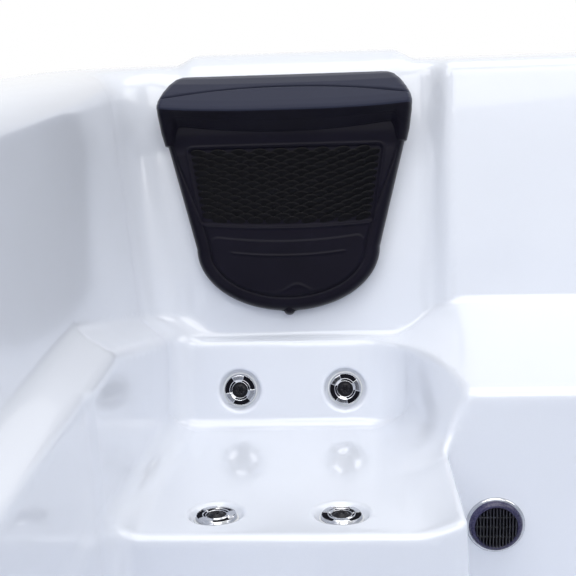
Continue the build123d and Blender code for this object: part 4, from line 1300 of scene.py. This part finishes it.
make_suction("suction_grille_left", -1, ["suction_covers"])
make_suction("suction_grille_right", 1, [])

# Finishes of the plain parts

NODE_PAINT = {
    "base_pan": "base_plastic",
    "frame_posts": "timber",
    "top_rails": "timber",
    "floor_bearers": "timber",
    "side_panel_left": "panel",
    "side_panel_right": "panel",
    "back_panel": "panel",
    "access_panel": "panel",
    "corner_covers": "corner_trim",
    "cabinet_screws": "screw_steel",
    "jet_bodies": "fitting_white",
    "jet_nuts": "fitting_white",
    "jet_gaskets": "gasket_rubber",
    "pump_wet_end": "pump_black",
    "pump_motor": "motor_grey",
    "heater": "heater_steel",
    "control_box": "box_grey",
    "pipework": "pipe_white",
    "filter_collar": "trim_grey",
    "filter_cartridge": "filter_cloth",
    "filter_lid": "trim_grey",
    "weir_flap": "trim_grey",
    "keypad": "keypad_black",
    "button_cooler": "button_grey",
    "button_warmer": "button_grey",
    "button_jets": "button_grey",
    "air_knob": "trim_grey",
    "diverter_handle": "trim_grey",
    "light_lens": "lens_clear",
    "drain_cap": "trim_grey",
}


def paint_nodes():
    for node, finish in NODE_PAINT.items():
        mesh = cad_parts[node].data
        mesh.materials.clear()
        mesh.materials.append(PAINT[finish])


paint_nodes()

# Floor, daylight and lamps


def make_floor():
    """A plain pale floor that keeps the tub's shadow."""
    finish = Finish("floor_paint", Roughness=0.75)
    patch = finish.noise(1.5, detail=2)
    finish.feed("Base Color", finish.blend(patch, (0.80, 0.80, 0.80), (0.83, 0.83, 0.83)))
    half = 14.0
    mesh = bpy.data.meshes.new("floor")
    mesh.from_pydata([(-half, -half, 0), (half, -half, 0), (half, half, 0), (-half, half, 0)], [], [(0, 1, 2, 3)])
    mesh.materials.append(finish.material)
    floor = bpy.data.objects.new("floor", mesh)
    bpy.context.scene.collection.objects.link(floor)


def make_sky():
    """An even pale sky: white to the camera, dimmer as light."""
    world = bpy.data.worlds.new("daylight")
    bpy.context.scene.world = world
    world.use_nodes = True
    tree = world.node_tree
    sky = tree.nodes["Background"]
    path = tree.nodes.new("ShaderNodeLightPath")
    seen = Wire(tree, path.outputs["Is Camera Ray"])
    for ray in ("Is Glossy Ray", "Is Transmission Ray"):
        seen = seen.calculate("MAXIMUM", Wire(tree, path.outputs[ray]))
    sky.inputs["Color"].default_value = (0.91, 0.955, 1.0, 1)
    white = tree.nodes.new("ShaderNodeBackground")
    white.inputs["Color"].default_value = (1, 1, 1, 1)
    white.inputs["Strength"].default_value = 1.0
    sky.inputs["Strength"].default_value = SKY_STRENGTH
    mix = tree.nodes.new("ShaderNodeMixShader")
    put(tree, mix.inputs[0], seen)
    tree.links.new(sky.outputs[0], mix.inputs[1])
    tree.links.new(white.outputs[0], mix.inputs[2])
    tree.links.new(mix.outputs[0], tree.nodes["World Output"].inputs["Surface"])


SKY_STRENGTH = 0.10


def add_lamp(name, place, target, size, power, colour=(1, 1, 1)):
    """A square soft lamp that faces a point."""
    light = bpy.data.lights.new(name, "AREA")
    light.shape = "RECTANGLE"
    light.size, light.size_y = size
    light.energy = power
    light.color = colour
    lamp = bpy.data.objects.new(name, light)
    bpy.context.scene.collection.objects.link(lamp)
    way = Vector(target) - Vector(place)
    lamp.matrix_world = Matrix.Translation(place) @ way.to_track_quat("-Z", "Y").to_matrix().to_4x4()


make_floor()
make_sky()
add_lamp("window", (-2.0, -1.9, 3.2), (0.1, 0.3, 0.4), (2.2, 2.2), 47)
add_lamp("right", (3.0, 0.2, 2.8), (-0.4, 0.3, 0.3), (2.4, 2.4), 43)
add_lamp("front", (0.3, -2.6, 2.9), (-0.4, 0.3, 0.3), (2.6, 1.8), 50)
add_lamp("overhead", (-0.2, 0.2, 3.6), (-0.2, 0.3, 0), (2.6, 2.6), 54)
bpy.context.scene.view_settings.view_transform = "Standard"
